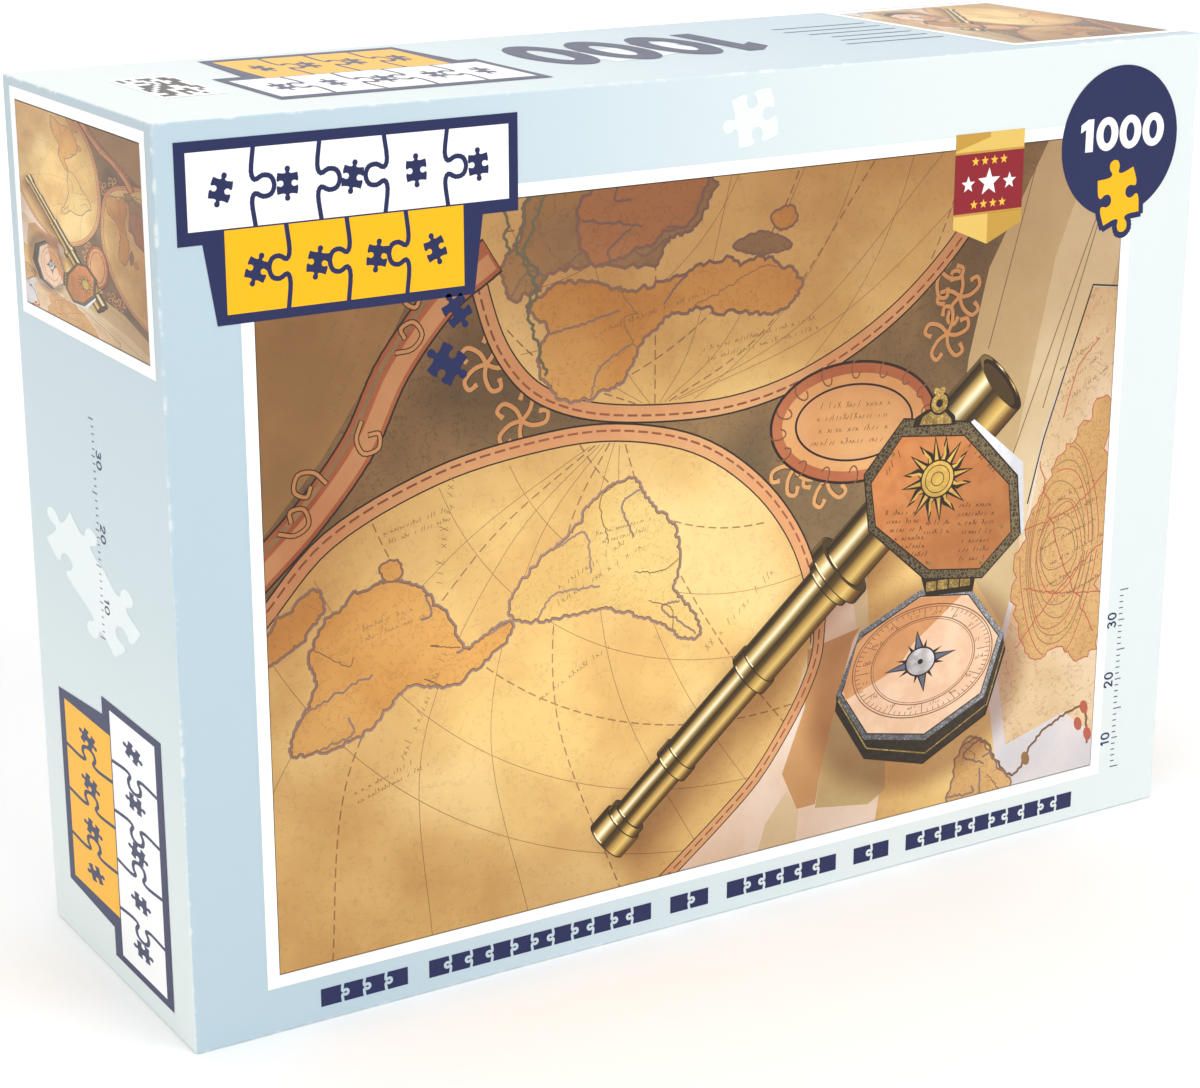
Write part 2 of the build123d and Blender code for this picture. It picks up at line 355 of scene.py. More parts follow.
class Print:  # paints outlines over each other, then makes one flat sheet of them
    def __init__(self, ground, outline, fine=True):
        self.shapes = [(ground, outline)]
        self.fine = fine

    def fill(self, ink, loop):  # outlines always run counterclockwise
        self.shapes.append((ink, loop if area(loop) > 0 else loop[::-1]))

    def line(self, ink, points, width, closed=False):
        if closed:
            points = points + points[:1]
        for start, end in zip(points, points[1:]):
            start, end = Vector(start), Vector(end)
            if (end - start).length < 0.02:
                continue
            run = (end - start).normalized()
            out = Vector((-run.y, run.x)) * width / 2
            start, end = start - run * width * 0.25, end + run * width * 0.25
            self.fill(ink, [tuple(start - out), tuple(end - out), tuple(end + out), tuple(start + out)])

    def dashes(self, ink, points, width, dash, gap, closed=False):
        if closed:
            points = points + points[:1]
        drawn, walked, run = [], 0.0, [points[0]]
        for start, end in zip(points, points[1:]):
            start, end = Vector(start), Vector(end)
            length, here = (end - start).length, 0.0
            while length - here > 1e-6:
                limit = dash if walked < dash else dash + gap
                step = min(limit - walked, length - here)
                here += step
                walked += step
                point = tuple(start.lerp(end, here / length))
                if limit == dash:
                    run.append(point)
                if walked >= limit - 1e-6:
                    if limit == dash:
                        drawn.append(run)
                    else:
                        walked = 0.0
                        run = [point]
        for piece in drawn:
            self.line(ink, piece, width)

    def make(self, name, face, lift, body, slot, place=None, flip=False):
        points, rims = [], []
        for ink, loop in self.shapes:
            rims.append(range(len(points), len(points) + len(loop)))
            points += [Vector(point) for point in loop]
        flat, edges, faces, oldPoints, oldEdges, owners = delaunay_2d_cdt(
            points, [], [list(rim) for rim in rims], 1, 1e-5)
        inkNames, indices, kept = [], [], []
        for corners, owner in zip(faces, owners):
            if 0 not in owner or self.shapes[max(owner)][0] is None:  # outside, or left bare
                continue
            ink = self.shapes[max(owner)][0]
            if ink not in inkNames:
                inkNames.append(ink)
            kept.append(corners)
            indices.append(inkNames.index(ink))
        used = sorted({corner for corners in kept for corner in corners})
        short = {old: new for new, old in enumerate(used)}
        place = place or (lambda point: point)
        mesh = bpy.data.meshes.new(name)
        mesh.from_pydata([face(*place(flat[old]), lift) for old in used], [],
                         [[short[c] for c in (corners[::-1] if flip else corners)] for corners in kept])
        art = mesh.uv_layers.new(name="art")
        for loop in mesh.loops:
            art.data[loop.index].uv = flat[used[loop.vertex_index]] / 100
        for ink in inkNames:
            mesh.materials.append(inkOf(ink))
        mesh.polygons.foreach_set("material_index", indices)
        piece = bpy.data.objects.new(name, mesh)
        bpy.context.scene.collection.objects.link(piece)
        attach(piece, body)
        print("printed", name, len(kept), "faces")
        return piece


# Each face of the box: across and up on it, in millimetres, as seen from outside.

def frontFace(u, v, lift):
    return Vector((lidLow.x + u * mm, lidLow.y - lift, v * mm))


def leftFace(u, v, lift):
    return Vector((lidLow.x - lift, lidHigh.y - u * mm, v * mm))


def rightFace(u, v, lift):
    return Vector((lidHigh.x + lift, lidLow.y + u * mm, v * mm))


def topFace(u, v, lift):
    return Vector((lidLow.x + u * mm, lidLow.y + v * mm, lidHigh.z + lift))


def bottomFace(u, v, lift):
    return Vector((lidLow.x + u * mm, lidHigh.y - v * mm, lidLow.z - lift))


# ---- inks ----

inkMakers = {}
inkCache = {}


def inkOf(name):
    if name not in inkCache:
        made = inkMakers[name]
        inkCache[name] = made() if callable(made) else flatInk(name, *made)
    return inkCache[name]


gloss = {"Roughness": 0.36, "Specular IOR Level": 0.3}  # of everything printed


def flatInk(name, colour):  # an even ink: its edges stay as sharp as the outline
    finish = Finish(name)
    tooth = finish.noise(finish.place(), 2600, 2)
    return finish.surface({"Base Color": colour, **gloss, "Normal": finish.bump(tooth, 0.1, 0.0001)})


def artPlace(finish):
    spot = finish.node("ShaderNodeUVMap", {"uv_map": "art"})
    x, y, z = finish.parts(spot)
    return spot, x * 100, y * 100


spyglass = {"startX": 121.5, "startY": 31.0, "endX": 252.0, "endY": 141.5}
glassRun = Vector((spyglass["endX"] - spyglass["startX"], spyglass["endY"] - spyglass["startY"]))
glassLength = glassRun.length
glassRun.normalize()


def alongGlass(x, y):  # along the spyglass from its eyepiece, and across it, upper left positive
    dx, dy = x - spyglass["startX"], y - spyglass["startY"]
    return dx * glassRun.x + dy * glassRun.y, dy * glassRun.x - dx * glassRun.y


def pictureLight(finish, spot, x, y):  # how the printed scene is lit: warm middle, dim top left, soft shadows
    def glow(midX, midY, wide, tall):
        far = ((x - midX) / wide) ** 2.0 + ((y - midY) / tall) ** 2.0
        return finish.ease(far, 1.0, 0.0)
    light = 0.68 + 0.4 * glow(140, 90, 125, 78) + 0.24 * glow(265, 60, 80, 115)
    light = light - 0.2 * glow(150, 218, 190, 66) - 0.13 * glow(25, 150, 70, 70)
    along, across = alongGlass(x, y)
    reach = finish.ease(along, -8, 6) * finish.ease(along, 150, 100)
    shadow = finish.ease(across, -24, -6) * finish.ease(across, 12, -2) * reach
    under = finish.ease(((x - 226) / 44) ** 2.0 + ((y - 55) / 36) ** 2.0, 1.0, 0.55)
    return light * (1 - 0.62 * shadow) * (1 - 0.5 * under)


def paperInk(name, base, second, third=None, engraved=0.0, engraving=shade(128, 92, 60), contour=5.0):
    def make():
        finish = Finish(name)
        spot, x, y = artPlace(finish)
        cloud = finish.noise(spot, 2.2, 4)
        blotch = finish.noise(spot, 7.0, 5, 0.6)
        colour = finish.mix(finish.ease(cloud, 0.38, 0.62), base, second)
        if third:
            colour = finish.mix(0.8 * finish.ease(finish.noise(spot, 1.4, 2), 0.48, 0.62), colour, third)
        if engraved:
            rings = (finish.noise(spot, contour, 6, 0.62) * 9).fraction()
            colour = finish.mix(engraved * finish.ease(abs(rings - 0.5), 0.06, 0.02), colour, engraving)
            ticks = finish.ease(finish.noise(spot, contour * 9, 2), 0.66, 0.7)
            colour = finish.mix(engraved * 0.8 * ticks, colour, engraving)
        grain = finish.noise(spot, 60, 3)
        light = pictureLight(finish, spot, x, y) * (0.9 + 0.16 * blotch + 0.08 * grain)
        tint = finish.ramp(0.9 * light, [  # dusk browns the paper
            (0.0, (0.03, 0.015, 0.008, 1)), (0.38, (0.47, 0.35, 0.31, 1)), (0.62, (0.71, 0.63, 0.58, 1)),
            (0.9, (1, 1, 1, 1)), (1.0, (1.12, 1.12, 1.1, 1))])
        colour = finish.mix(1.0, colour, tint, "MULTIPLY")
        return finish.surface({"Base Color": colour, **gloss})
    inkMakers[name] = make


paperInk("oldPaper", shade(218, 174, 106), shade(234, 196, 124), shade(240, 208, 142), 0.16)
paperInk("oldPaperBlur", shade(186, 146, 92), shade(206, 162, 100), None, 0.08)
paperInk("textSheet", shade(168, 132, 84), shade(184, 146, 92))
paperInk("spandrel", shade(126, 102, 70), shade(158, 126, 84), shade(106, 86, 60), 0.45, shade(66, 52, 40), 9.0)
paperInk("ringPink", shade(218, 156, 106), shade(226, 172, 120))
paperInk("ringDash", shade(156, 92, 62), shade(140, 82, 56))
paperInk("ringRed", shade(176, 98, 62), shade(196, 120, 78))
paperInk("landGold", shade(220, 180, 108), shade(232, 194, 120), shade(226, 198, 128), 0.4,
         shade(150, 112, 58), 12.0)
paperInk("landOchre", shade(210, 150, 76), shade(224, 168, 92), shade(228, 182, 108), 0.4, shade(140, 92, 44), 10.0)
paperInk("landDull", shade(178, 144, 98), shade(160, 128, 92), shade(190, 150, 92), 0.4, shade(96, 76, 58), 8.0)
paperInk("landRose", shade(200, 146, 98), shade(190, 134, 88), None, 0.4, shade(120, 80, 54), 9.0)
paperInk("coast", shade(158, 128, 112), shade(140, 114, 104))
paperInk("cartouche", shade(218, 156, 98), shade(232, 176, 116))
paperInk("stripSheet", shade(206, 178, 130), shade(214, 188, 142))
paperInk("paleStrip", shade(222, 198, 156), shade(232, 210, 170))
paperInk("warmVeil", shade(216, 164, 108), shade(202, 152, 98))
paperInk("khakiVeil", shade(208, 184, 132), shade(198, 170, 116))
paperInk("glare", shade(244, 226, 210), shade(236, 208, 184))
paperInk("sideMap", shade(222, 188, 142), shade(236, 208, 166), shade(240, 216, 186), 0.5,
         shade(160, 116, 84), 7.0)
paperInk("sideLand", shade(226, 182, 122), shade(214, 168, 106), None, 0.75, shade(136, 94, 64), 16.0)
paperInk("sideSea", shade(214, 210, 214), shade(232, 224, 222))
paperInk("faintLine", shade(150, 112, 72), shade(168, 128, 84))
inkMakers["mapLine"] = (shade(122, 88, 58),)
inkMakers["roseLine"] = (shade(122, 78, 52),)
inkMakers["redLine"] = (shade(184, 92, 70),)
inkMakers["darkInk"] = (shade(44, 30, 20),)
inkMakers["white"] = (shade(252, 252, 252),)
inkMakers["navy"] = (shade(31, 38, 84),)
inkMakers["amber"] = (shade(254, 184, 0),)
inkMakers["ribbonGold"] = (shade(226, 190, 98),)
inkMakers["ribbonShade"] = (shade(196, 152, 62),)
inkMakers["ribbonRed"] = (shade(140, 24, 38),)
inkMakers["starGold"] = (shade(248, 196, 66),)
inkMakers["paleGhost"] = (shade(232, 240, 240),)
inkMakers["steelEdge"] = (shade(146, 150, 156),)
inkMakers["softGrey"] = (shade(96, 104, 122),)
inkMakers["brassShade"] = (shade(74, 54, 26),)
inkMakers["brassGlint"] = (shade(252, 240, 196),)
inkMakers["coastDark"] = (shade(98, 88, 66),)


def brassInk(name, halfWidth, gain=1.0):  # polished tube: bright and dark bands along it
    def make():
        finish = Finish(name)
        spot, x, y = artPlace(finish)
        along, across = alongGlass(x, y)
        round_ = across / (2.1 * halfWidth) + 0.5
        wobble = finish.noise(spot, 3.0, 2)
        bands = finish.ramp(round_ + 0.05 * (wobble - 0.5), [
            (0.0, shade(44, 28, 10)), (0.1, shade(118, 82, 34)), (0.22, shade(222, 188, 108)),
            (0.32, shade(184, 146, 74)), (0.42, shade(84, 62, 26)), (0.52, shade(54, 40, 18)),
            (0.6, shade(150, 120, 62)), (0.69, shade(252, 242, 200)), (0.77, shade(206, 172, 100)),
            (0.86, shade(76, 56, 26)), (0.94, shade(38, 26, 12)), (1.0, shade(120, 96, 52))])
        sheen = 0.9 + 0.2 * finish.noise(spot, 9.0, 3)
        dusk = 1 - 0.35 * finish.ease(along, 118, 150) * finish.ease(along, 162, 150)
        colour = finish.dim(bands, sheen * dusk * gain)
        return finish.surface({"Base Color": colour, **gloss})
    inkMakers[name] = make


def litInk(name, base, second, darkSide=(0, 0), lightSide=(1, 1), low=0.8, high=1.1, grain=30.0, pattern=0.0,
           patternColour=shade(150, 120, 70)):
    # an object's flat side: shaded from one spot of the picture to another
    def make():
        finish = Finish(name)
        spot, x, y = artPlace(finish)
        run = Vector(lightSide) - Vector(darkSide)
        share = ((x - darkSide[0]) * run.x + (y - darkSide[1]) * run.y) / run.length_squared
        colour = finish.mix(finish.ease(finish.noise(spot, grain, 4), 0.4, 0.62), base, second)
        if pattern:
            cells = finish.node("ShaderNodeTexVoronoi", {"feature": "DISTANCE_TO_EDGE"},
                                {"Vector": spot, "Scale": 90.0})
            colour = finish.mix(pattern * finish.ease(cells, 0.16, 0.06), colour, patternColour)
        colour = finish.dim(colour, low + (high - low) * finish.ease(share, 0.0, 1.0))
        return finish.surface({"Base Color": colour, **gloss})
    inkMakers[name] = make


litInk("lidFace", shade(196, 122, 66), shade(206, 134, 76), (244, 90), (214, 130), 0.78, 1.1, 14.0)
litInk("rimWood", shade(58, 46, 34), shade(74, 60, 46), (205, 100), (262, 120), 0.8, 1.2, 60.0, 0.8,
       shade(128, 112, 78))
litInk("rimSteel", shade(128, 130, 134), shade(158, 160, 166), (204, 50), (258, 72), 0.55, 1.3, 60.0, 0.8,
       shade(88, 84, 84))
litInk("boxSide", shade(48, 38, 28), shade(60, 48, 36), (205, 36), (252, 60), 0.6, 1.2, 50.0)
litInk("roseFace", shade(232, 190, 156), shade(240, 204, 172), (204, 46), (250, 80), 0.92, 1.06, 12.0)
litInk("roseShade", shade(204, 142, 92), shade(212, 152, 100), (204, 60), (240, 84), 0.95, 1.05, 12.0)
litInk("lidSide", shade(232, 232, 240), shade(244, 244, 248), (261, 112), (242, 132), 0.8, 1.05, 30.0)
litInk("brassPlain", shade(168, 134, 66), shade(206, 172, 96), (226, 130), (236, 140), 0.8, 1.2, 40.0, 0.5,
       shade(84, 62, 28))
litInk("sunFace", shade(206, 164, 76), shade(222, 182, 92), (228, 112), (234, 122), 0.9, 1.1, 30.0)
litInk("dialSilver", shade(176, 168, 168), shade(208, 204, 206), (223, 60), (230, 66), 0.75, 1.15, 24.0)

for tube, width in {"A": 5.2, "B": 6.0, "C": 7.2, "D": 8.6, "E": 11.0, "F": 6.4, "G": 7.6}.items():
    brassInk("brass" + tube, width, 1.06 if tube in "FGE" else 0.98)


def inside(loop, point):
    x, y = point
    hits = False
    for (ax, ay), (bx, by) in zip(loop, loop[1:] + loop[:1]):
        if (ay > y) != (by > y) and x < ax + (y - ay) * (bx - ax) / (by - ay):
            hits = not hits
    return hits


def keptRuns(points, loop):  # the stretches of a line that lie inside a closed outline
    runs, run = [], []
    for point in points:
        if inside(loop, point):
            run.append(point)
        else:
            runs.append(run)
            run = []
    runs.append(run)
    return [run for run in runs if len(run) > 1]


def arc(middle, wide, tall, first, last, count=40):
    angles = [math.radians(first + (last - first) * step / count) for step in range(count + 1)]
    return [(middle[0] + wide * math.cos(a), middle[1] + tall * math.sin(a)) for a in angles]


# ---- the picture: antique charts with a spyglass and a pocket compass lying on them ----

picture = {
    "left": 23.7, "low": 16.2, "right": 294.0, "high": 209.0, "frame": 3.4,
    "ring": 4.6,
    "upperEdge": [(75, 222), (79, 203), (83, 185), (88, 171), (96, 160), (106, 153.4), (120, 148.8), (140, 146),
                  (160, 145.5), (180, 148.8), (200, 156.3), (217.5, 166.3), (232.5, 178.8), (243, 191),
                  (252, 206), (258, 222)],
    "lowerEdge": [(20, 112), (40, 131), (70, 143), (100, 147.5), (125, 147), (150, 140), (170, 126), (184, 108),
                  (191, 88), (192, 66), (186, 46), (174, 30), (158, 18), (140, 6)],
    "lidEdge": [(205, 121.4), (218, 135.4), (241.5, 131.3), (259.7, 113), (261.8, 95.3), (248.2, 84.4),
                (227.4, 87.5), (207.1, 105.2)],
    "lidPanel": [(207.4, 118.6), (217.6, 130.4), (239.6, 127.6), (256.6, 110.7), (258.2, 96.4), (247.2, 87.2),
                 (228.8, 90), (209.4, 106)],
    "dishEdge": [(225.8, 84.2), (244.5, 81.5), (257.3, 65.5), (251, 47), (229.5, 37.8), (207.5, 42.5),
                 (197.2, 58), (205, 75.5)],
    "dishSide": [(197.2, 58), (197.5, 53.5), (208, 37), (229, 31), (251.5, 41.5), (257.8, 60.5), (257.3, 65.5),
                 (251, 47), (229.5, 37.8), (207.5, 42.5)],
}


def chartLines(sheet, loop, curves, width=0.24, dash=2.4, gap=1.5):
    for number, curve in enumerate(curves):
        for run in keptRuns(curve, loop) if sheet.fine or number % 2 else []:
            if number % 3:
                sheet.line("faintLine", run, width * 0.8)
            else:
                sheet.dashes("faintLine", run, width * 1.7, dash, gap)


def land(sheet, ink, outline, dice, rough=0.3, coastWidth=0.8):
    loop = roughened(roughened(smoothLoop(outline, 3), rough, dice), rough, dice)
    sheet.line("coast", loop, coastWidth * 1.9, True)
    sheet.fill(ink, loop)
    sheet.line("roseLine", loop, 0.22, True)
    middle = Vector((sum(x for x, y in loop), sum(y for x, y in loop))) / len(loop)
    if abs(area(loop)) > 300:
        for number in range(7):  # old borders and rivers wander in from the coast
            start = Vector(loop[int(len(loop) * (number + dice.uniform(0.1, 0.9)) / 7)])
            bend = start.lerp(middle, 0.3) + Vector((dice.uniform(-6, 6), dice.uniform(-6, 6)))
            end = start.lerp(middle, dice.uniform(0.35, 0.85)) + Vector((dice.uniform(-4, 4), dice.uniform(-4, 4)))
            path = roughened(smoothRun([tuple(start), tuple(bend), tuple(end)], 8), 0.3, dice)[:-1]
            for run in keptRuns(path, loop):
                sheet.line("mapLine" if number % 2 else "coast", run, 0.28 if number % 2 else 0.6)


def smallWriting(sheet, start, direction, rows, length, pitch, ink, dice, high=1.2):
    # rows of little strokes that read as old script from afar
    if not sheet.fine:
        return
    run = Vector(direction).normalized()
    down = Vector((run.y, -run.x))
    for row in range(rows):
        here, end = dice.uniform(0, length * 0.12), length * dice.uniform(0.82, 1.0)
        while here < end:
            foot = Vector(start) + run * here + down * row * pitch
            tall = high * dice.choice((0.5, 0.55, 0.6, 1.0))
            lean = run * dice.uniform(0.1, 0.5) * high
            sheet.line(ink, [tuple(foot), tuple(foot - down * tall + lean)], 0.2)
            if dice.random() < 0.45:
                sheet.line(ink, [tuple(foot - down * tall * 0.9), tuple(foot + run * 0.9 - down * tall * 0.1)], 0.17)
            here += dice.choice((0.75, 0.9, 1.1, 2.0)) * high * 0.85


def paintCharts(sheet, dice):
    left, low, right, high = (picture[key] for key in ("left", "low", "right", "high"))
    sheet.fill("spandrel", [(23, 96), (23, 209.5), (270, 209.5), (262, 99), (168, 99), (120, 148), (60, 140)])
    for middle in ((96, 152), (86, 168), (192, 122), (236, 168), (229, 176), (181, 127), (232, 158)):  # leaves
        for turn in range(5):
            angle = turn * 1.26 + middle[0]
            curl = turned(smoothRun([(0, 0), (3.4, 1.2), (5.8, 4.0), (4.6, 6.2), (2.6, 5.2)], 4), middle, angle)
            sheet.line("cartouche", curl, 1.3)
            sheet.line("darkInk", inset(curl, 0.6)[1:-1], 0.22)
    # hemisphere below
    edge, ring = smoothRun(picture["lowerEdge"], 6), picture["ring"]
    innerLow = offsetRun(edge, -ring) + [(19, 5)]
    sheet.fill("darkInk", offsetRun(edge, 0.5) + [(18, 5)])
    sheet.fill("ringPink", edge + [(18, 5)])
    sheet.dashes("ringDash", offsetRun(edge, -1.6), 0.6, 2.8, 1.5)
    sheet.fill("darkInk", offsetRun(edge, 0.4 - ring) + [(19, 5)])
    sheet.fill("oldPaper", innerLow)
    lowLines = [smoothRun([(125, 147), (100 - fan * 9, 118), (86 - fan * 20, 70), (98 - fan * 30, 10)], 24)
                for fan in range(-4, 4)]
    lowLines += [arc((168, 170), reach, reach * 0.92, 180, 300, 90) for reach in (42, 62, 82, 102, 122, 142, 162)]
    chartLines(sheet, innerLow, lowLines)
    # hemisphere above
    edge, beyond = smoothRun(picture["upperEdge"], 5), [(262, 240), (70, 240)]
    innerHigh = offsetRun(edge, ring) + beyond
    sheet.fill("darkInk", offsetRun(edge, -0.5) + beyond)
    sheet.fill("ringPink", edge + beyond)
    sheet.dashes("ringDash", offsetRun(edge, 1.6), 0.6, 2.8, 1.5)
    sheet.fill("darkInk", offsetRun(edge, ring - 0.4) + beyond)
    sheet.fill("oldPaper", innerHigh)
    highLines = [smoothRun([(136, 149), (136 + fan * 12, 168), (136 + fan * 24, 212)], 24) for fan in range(-3, 6)]
    highLines += [arc((92, 236), reach, reach * 0.88, 270, 360, 60) for reach in (40, 58, 76, 94, 112, 130, 148)]
    chartLines(sheet, innerHigh, highLines)
    # lands
    land(sheet, "landOchre", [(105, 159), (101, 167), (104, 175), (99, 181), (107.5, 186), (117.5, 185),
                              (130, 181), (142.5, 184), (155, 186), (170, 185), (180, 181), (181, 175),
                              (172, 171), (162, 172.5), (150, 175), (140, 174), (132, 168), (127, 160),
                              (118, 156), (110, 155.5)], dice)
    land(sheet, "landDull", [(95, 183), (91, 192), (97, 200), (104, 211), (152, 211), (148, 197), (140, 195),
                             (135, 188), (120, 189.5), (107, 190)], dice)
    land(sheet, "landRose", [(117, 190.5), (128, 191.5), (140, 196.5), (147.5, 199.5), (150, 213), (122, 214),
                             (113, 203)], dice)
    for number in range(3):  # broken coasts west of there
        coast = [(104 - number * 5, 211), (100 - number * 4, 201), (97 - number * 2, 195), (101, 189 - number * 3),
                 (98, 180), (101 - number, 172), (103, 163)]
        sheet.line("coastDark", roughRun(smoothRun(coast[:7 - number * 2], 3), 0.35, dice), 0.8)
    land(sheet, "landDull", [(160, 190), (168, 193), (176, 190.5), (178, 188), (168, 187.5)], dice, 0.15, 0.6)
    land(sheet, "landOchre", [(172, 197), (178, 199), (180, 195), (175, 193)], dice, 0.15, 0.6)
    land(sheet, "landGold", [(92, 101), (96, 110), (104, 116), (111, 120), (116, 126), (122, 130.5), (130, 131.5),
                             (133, 126), (138, 121), (143, 115), (144, 107), (142, 99), (147.5, 92), (151, 85),
                             (145, 85), (139, 90), (130, 94), (120, 98), (110, 97.5), (101, 97.5)], dice)
    land(sheet, "landOchre", [(29.5, 75), (31, 82), (37, 92), (35, 100), (42, 110), (54, 115.5), (61, 115),
                              (67, 112), (74, 103), (79, 94), (85, 96.5), (92, 99), (91, 95), (82, 88), (72, 85),
                              (62, 87.5), (54, 80), (42, 75)], dice)
    land(sheet, "landOchre", [(20, 104), (29, 112), (37, 117), (39, 111), (31, 104), (24, 100)], dice)
    land(sheet, "landOchre", [(55, 120), (60, 121), (61, 117), (57, 116)], dice, 0.15, 0.5)
    for start, way, rows, length, high in (
            ((104, 104), (1, 0.45), 2, 32, 1.8), ((118, 118), (1, 0.1), 2, 18, 1.2), ((72, 110), (0.15, 1), 1, 34, 2.6),
            ((48, 104), (1, 0.2), 2, 20, 1.4), ((60, 66), (0.5, 1), 1, 38, 2.2), ((152, 78), (0.8, 0.7), 1, 34, 2.2),
            ((120, 172), (1, 0.2), 1, 40, 1.6), ((150, 163), (1, 0.12), 2, 44, 1.3), ((44, 60), (1, 0.3), 2, 24, 1.2),
            ((98, 74), (1, 0.5), 1, 30, 1.5), ((56, 128), (1, 0.2), 2, 22, 1.2)):
        smallWriting(sheet, start, way, rows, length, high * 2.2, "faintLine", dice, high)
    # lettered sheet in the corner, behind a rolled border
    sheet.fill("textSheet", [(23, 132), (40, 150), (56, 172), (78, 210), (23, 210)])
    smallWriting(sheet, (27, 170), (0.5, 1), 1, 42, 6, "mapLine", dice, 3.4)
    smallWriting(sheet, (35, 163), (0.5, 1), 5, 40, 4.6, "mapLine", dice, 1.6)
    for width, ink, shift in ((10.5, "darkInk", 0), (9.4, "ringRed", 0), (4.6, "ringPink", 1.4), (1.4, "landDull", -3)):
        sheet.line(ink, [(x + shift * 0.8, y - shift * 0.6) for x, y in smoothRun(
            [(20, 122), (36, 136), (50, 152), (60, 170), (74, 186), (86, 194)], 6)], width)
    for x, y in ((28, 133), (41, 144), (51, 158), (61, 174), (72, 187)):
        curl = smoothRun([(0, 0), (4, 2), (5.4, 6), (2, 8.4), (-0.8, 6), (1, 4)], 4)
        sheet.line("darkInk", turned(curl, (x, y), x * 0.2), 1.5)
        sheet.line("cartouche", turned(curl, (x, y), x * 0.2), 0.9)
    # oval panel between the hemispheres
    for wide, tall, ink in ((28.5, 17.4, "darkInk"), (27.6, 16.6, "ringRed"), (24.4, 13.8, "cartouche"),
                            (20.2, 11.0, "darkInk"), (19.5, 10.4, "ringPink"), (17.6, 9.0, "cartouche")):
        sheet.fill(ink, ellipse((201, 137), wide, tall, 72, -0.1))
    for turn in range(16):
        angle = turn * math.pi / 8
        spot = (201 + 25.6 * math.cos(angle), 137 + 15 * math.sin(angle))
        sheet.line("roseLine", turned(arc((0, 0), 2.6, 1.5, 0, 250, 10), spot, angle), 0.45)
    smallWriting(sheet, (187, 142.5), (1, -0.08), 4, 27, 3.4, "roseLine", dice, 1.7)


def paintRightSide(sheet, dice):
    sheet.fill("stripSheet", [(235, 99), (240, 150), (246, 175), (266, 210), (295, 210), (295, 60), (262, 60)])
    sheet.fill("paleStrip", [(284, 210), (270, 176), (258, 120), (262, 90), (276, 90), (282, 128), (295, 178),
                             (295, 210)])
    for start, end in (((285, 187), (257, 118)), ((292, 205), (268, 132)), ((262, 205), (247, 152))):
        sheet.line("mapLine", [start, end], 0.35)
    sheet.fill("paleStrip", [(190, 16), (183, 60), (196, 100), (206, 100), (212, 30), (206, 16)])
    sheet.fill("sideSea", [(258, 16), (252, 50), (262, 86), (268, 122.5), (284.5, 166), (295, 164.5), (295, 16)])
    sheet.fill("sideMap", [(260, 30), (256, 52), (262.5, 86), (268.8, 122), (284.5, 165.5), (295, 164), (295, 26),
                           (282, 36)])
    sheet.line("darkInk", [(264, 104), (268.8, 122.5), (284.5, 166), (295, 164.5)], 0.5)
    coast = roughened(roughened(smoothLoop([(263, 66), (262, 90), (270, 108), (282, 124), (296, 128), (296, 62),
                                            (287, 52), (278, 58), (270, 55)], 3), 0.3, dice), 0.3, dice)
    sheet.line("redLine", coast, 0.7, True)
    sheet.fill("sideLand", coast)
    for number in range(9):  # contour lines
        outline = smoothLoop([(277 + 14 * math.cos(a) * (1 - number * 0.07) + dice.uniform(-1, 1),
                               88 + 34 * math.sin(a) * (1 - number * 0.1) + dice.uniform(-2, 2))
                              for a in (0, 1.05, 2.1, 3.14, 4.2, 5.2)], 8)
        for run in keptRuns(outline, coast):
            sheet.line("redLine" if number % 3 == 0 else "faintLine", run, 0.3)
    for start, end in (((263, 96), (294, 110)), ((264, 78), (294, 72)), ((268, 116), (292, 60)), ((276, 128), (288, 150)),
                       ((262, 60), (294, 88))):
        bent = (0.5 * (start[0] + end[0]) + dice.uniform(-3, 3), 0.5 * (start[1] + end[1]) + dice.uniform(-4, 4))
        sheet.line("redLine", roughened(smoothRun([start, bent, end], 8), 0.25, dice)[:-1], 0.38)
    smallWriting(sheet, (266, 100), (1, 0.3), 6, 26, 6.0, "roseLine", dice, 1.2)
    smallWriting(sheet, (274, 142), (0.9, 0.5), 3, 18, 5.0, "faintLine", dice, 1.2)
    river = roughened(smoothRun([(240, 16), (244, 34), (252, 33), (258, 24), (264, 20), (272, 30), (280, 34),
                                 (290, 36), (292, 24)], 5), 0.3, dice)
    sheet.line("mapLine", river[:-1], 0.8)
    land(sheet, "sideLand", [(240, 14), (243, 31), (250, 34), (256, 26), (263, 14)], dice, 0.25, 0.5)
    for x, y, ink in ((290, 36, "redLine"), (288, 31, "redLine"), (292, 27, "redLine"), (268, 24, "faintLine")):
        sheet.fill(ink, ellipse((x, y), 1.5, 2.4, 10, 0.4))
    # glare, and the warm see-through shapes on the paper
    rim = smoothRun([(192, 96), (190.9, 80.4), (189.9, 70.7), (185.6, 60.6), (178.9, 50.1), (170.1, 39),
                     (159, 29.5), (143.7, 18.1), (138, 14)], 5)
    sheet.fill("glare", rim + [(212, 14), (216, 40), (206, 66), (200, 96)])
    sheet.fill("paleStrip", [(180.9, 32.6), (185.1, 25.6), (184.1, 14), (170.5, 14), (173.7, 24.1)])
    sheet.fill("khakiVeil", [(197.7, 57.2), (206.8, 43.2), (215.3, 34.3), (215.6, 25.4), (209.7, 22.1),
                             (190.8, 25.1), (192.9, 38.1)])
    sheet.fill("warmVeil", [(187, 73.5), (204.8, 76.8), (202.5, 73.3), (197.7, 57.2), (192.9, 38.1),
                            (190.8, 26.3), (184.5, 26.2), (179.1, 38), (186.5, 56.7)])
    sheet.line("ringPink", rim, 3.6)
    sheet.dashes("ringDash", rim, 0.5, 2.8, 1.5)
    sheet.line("darkInk", offsetRun(rim, 1.8), 0.35)
    sheet.line("darkInk", offsetRun(rim, -1.8), 0.35)


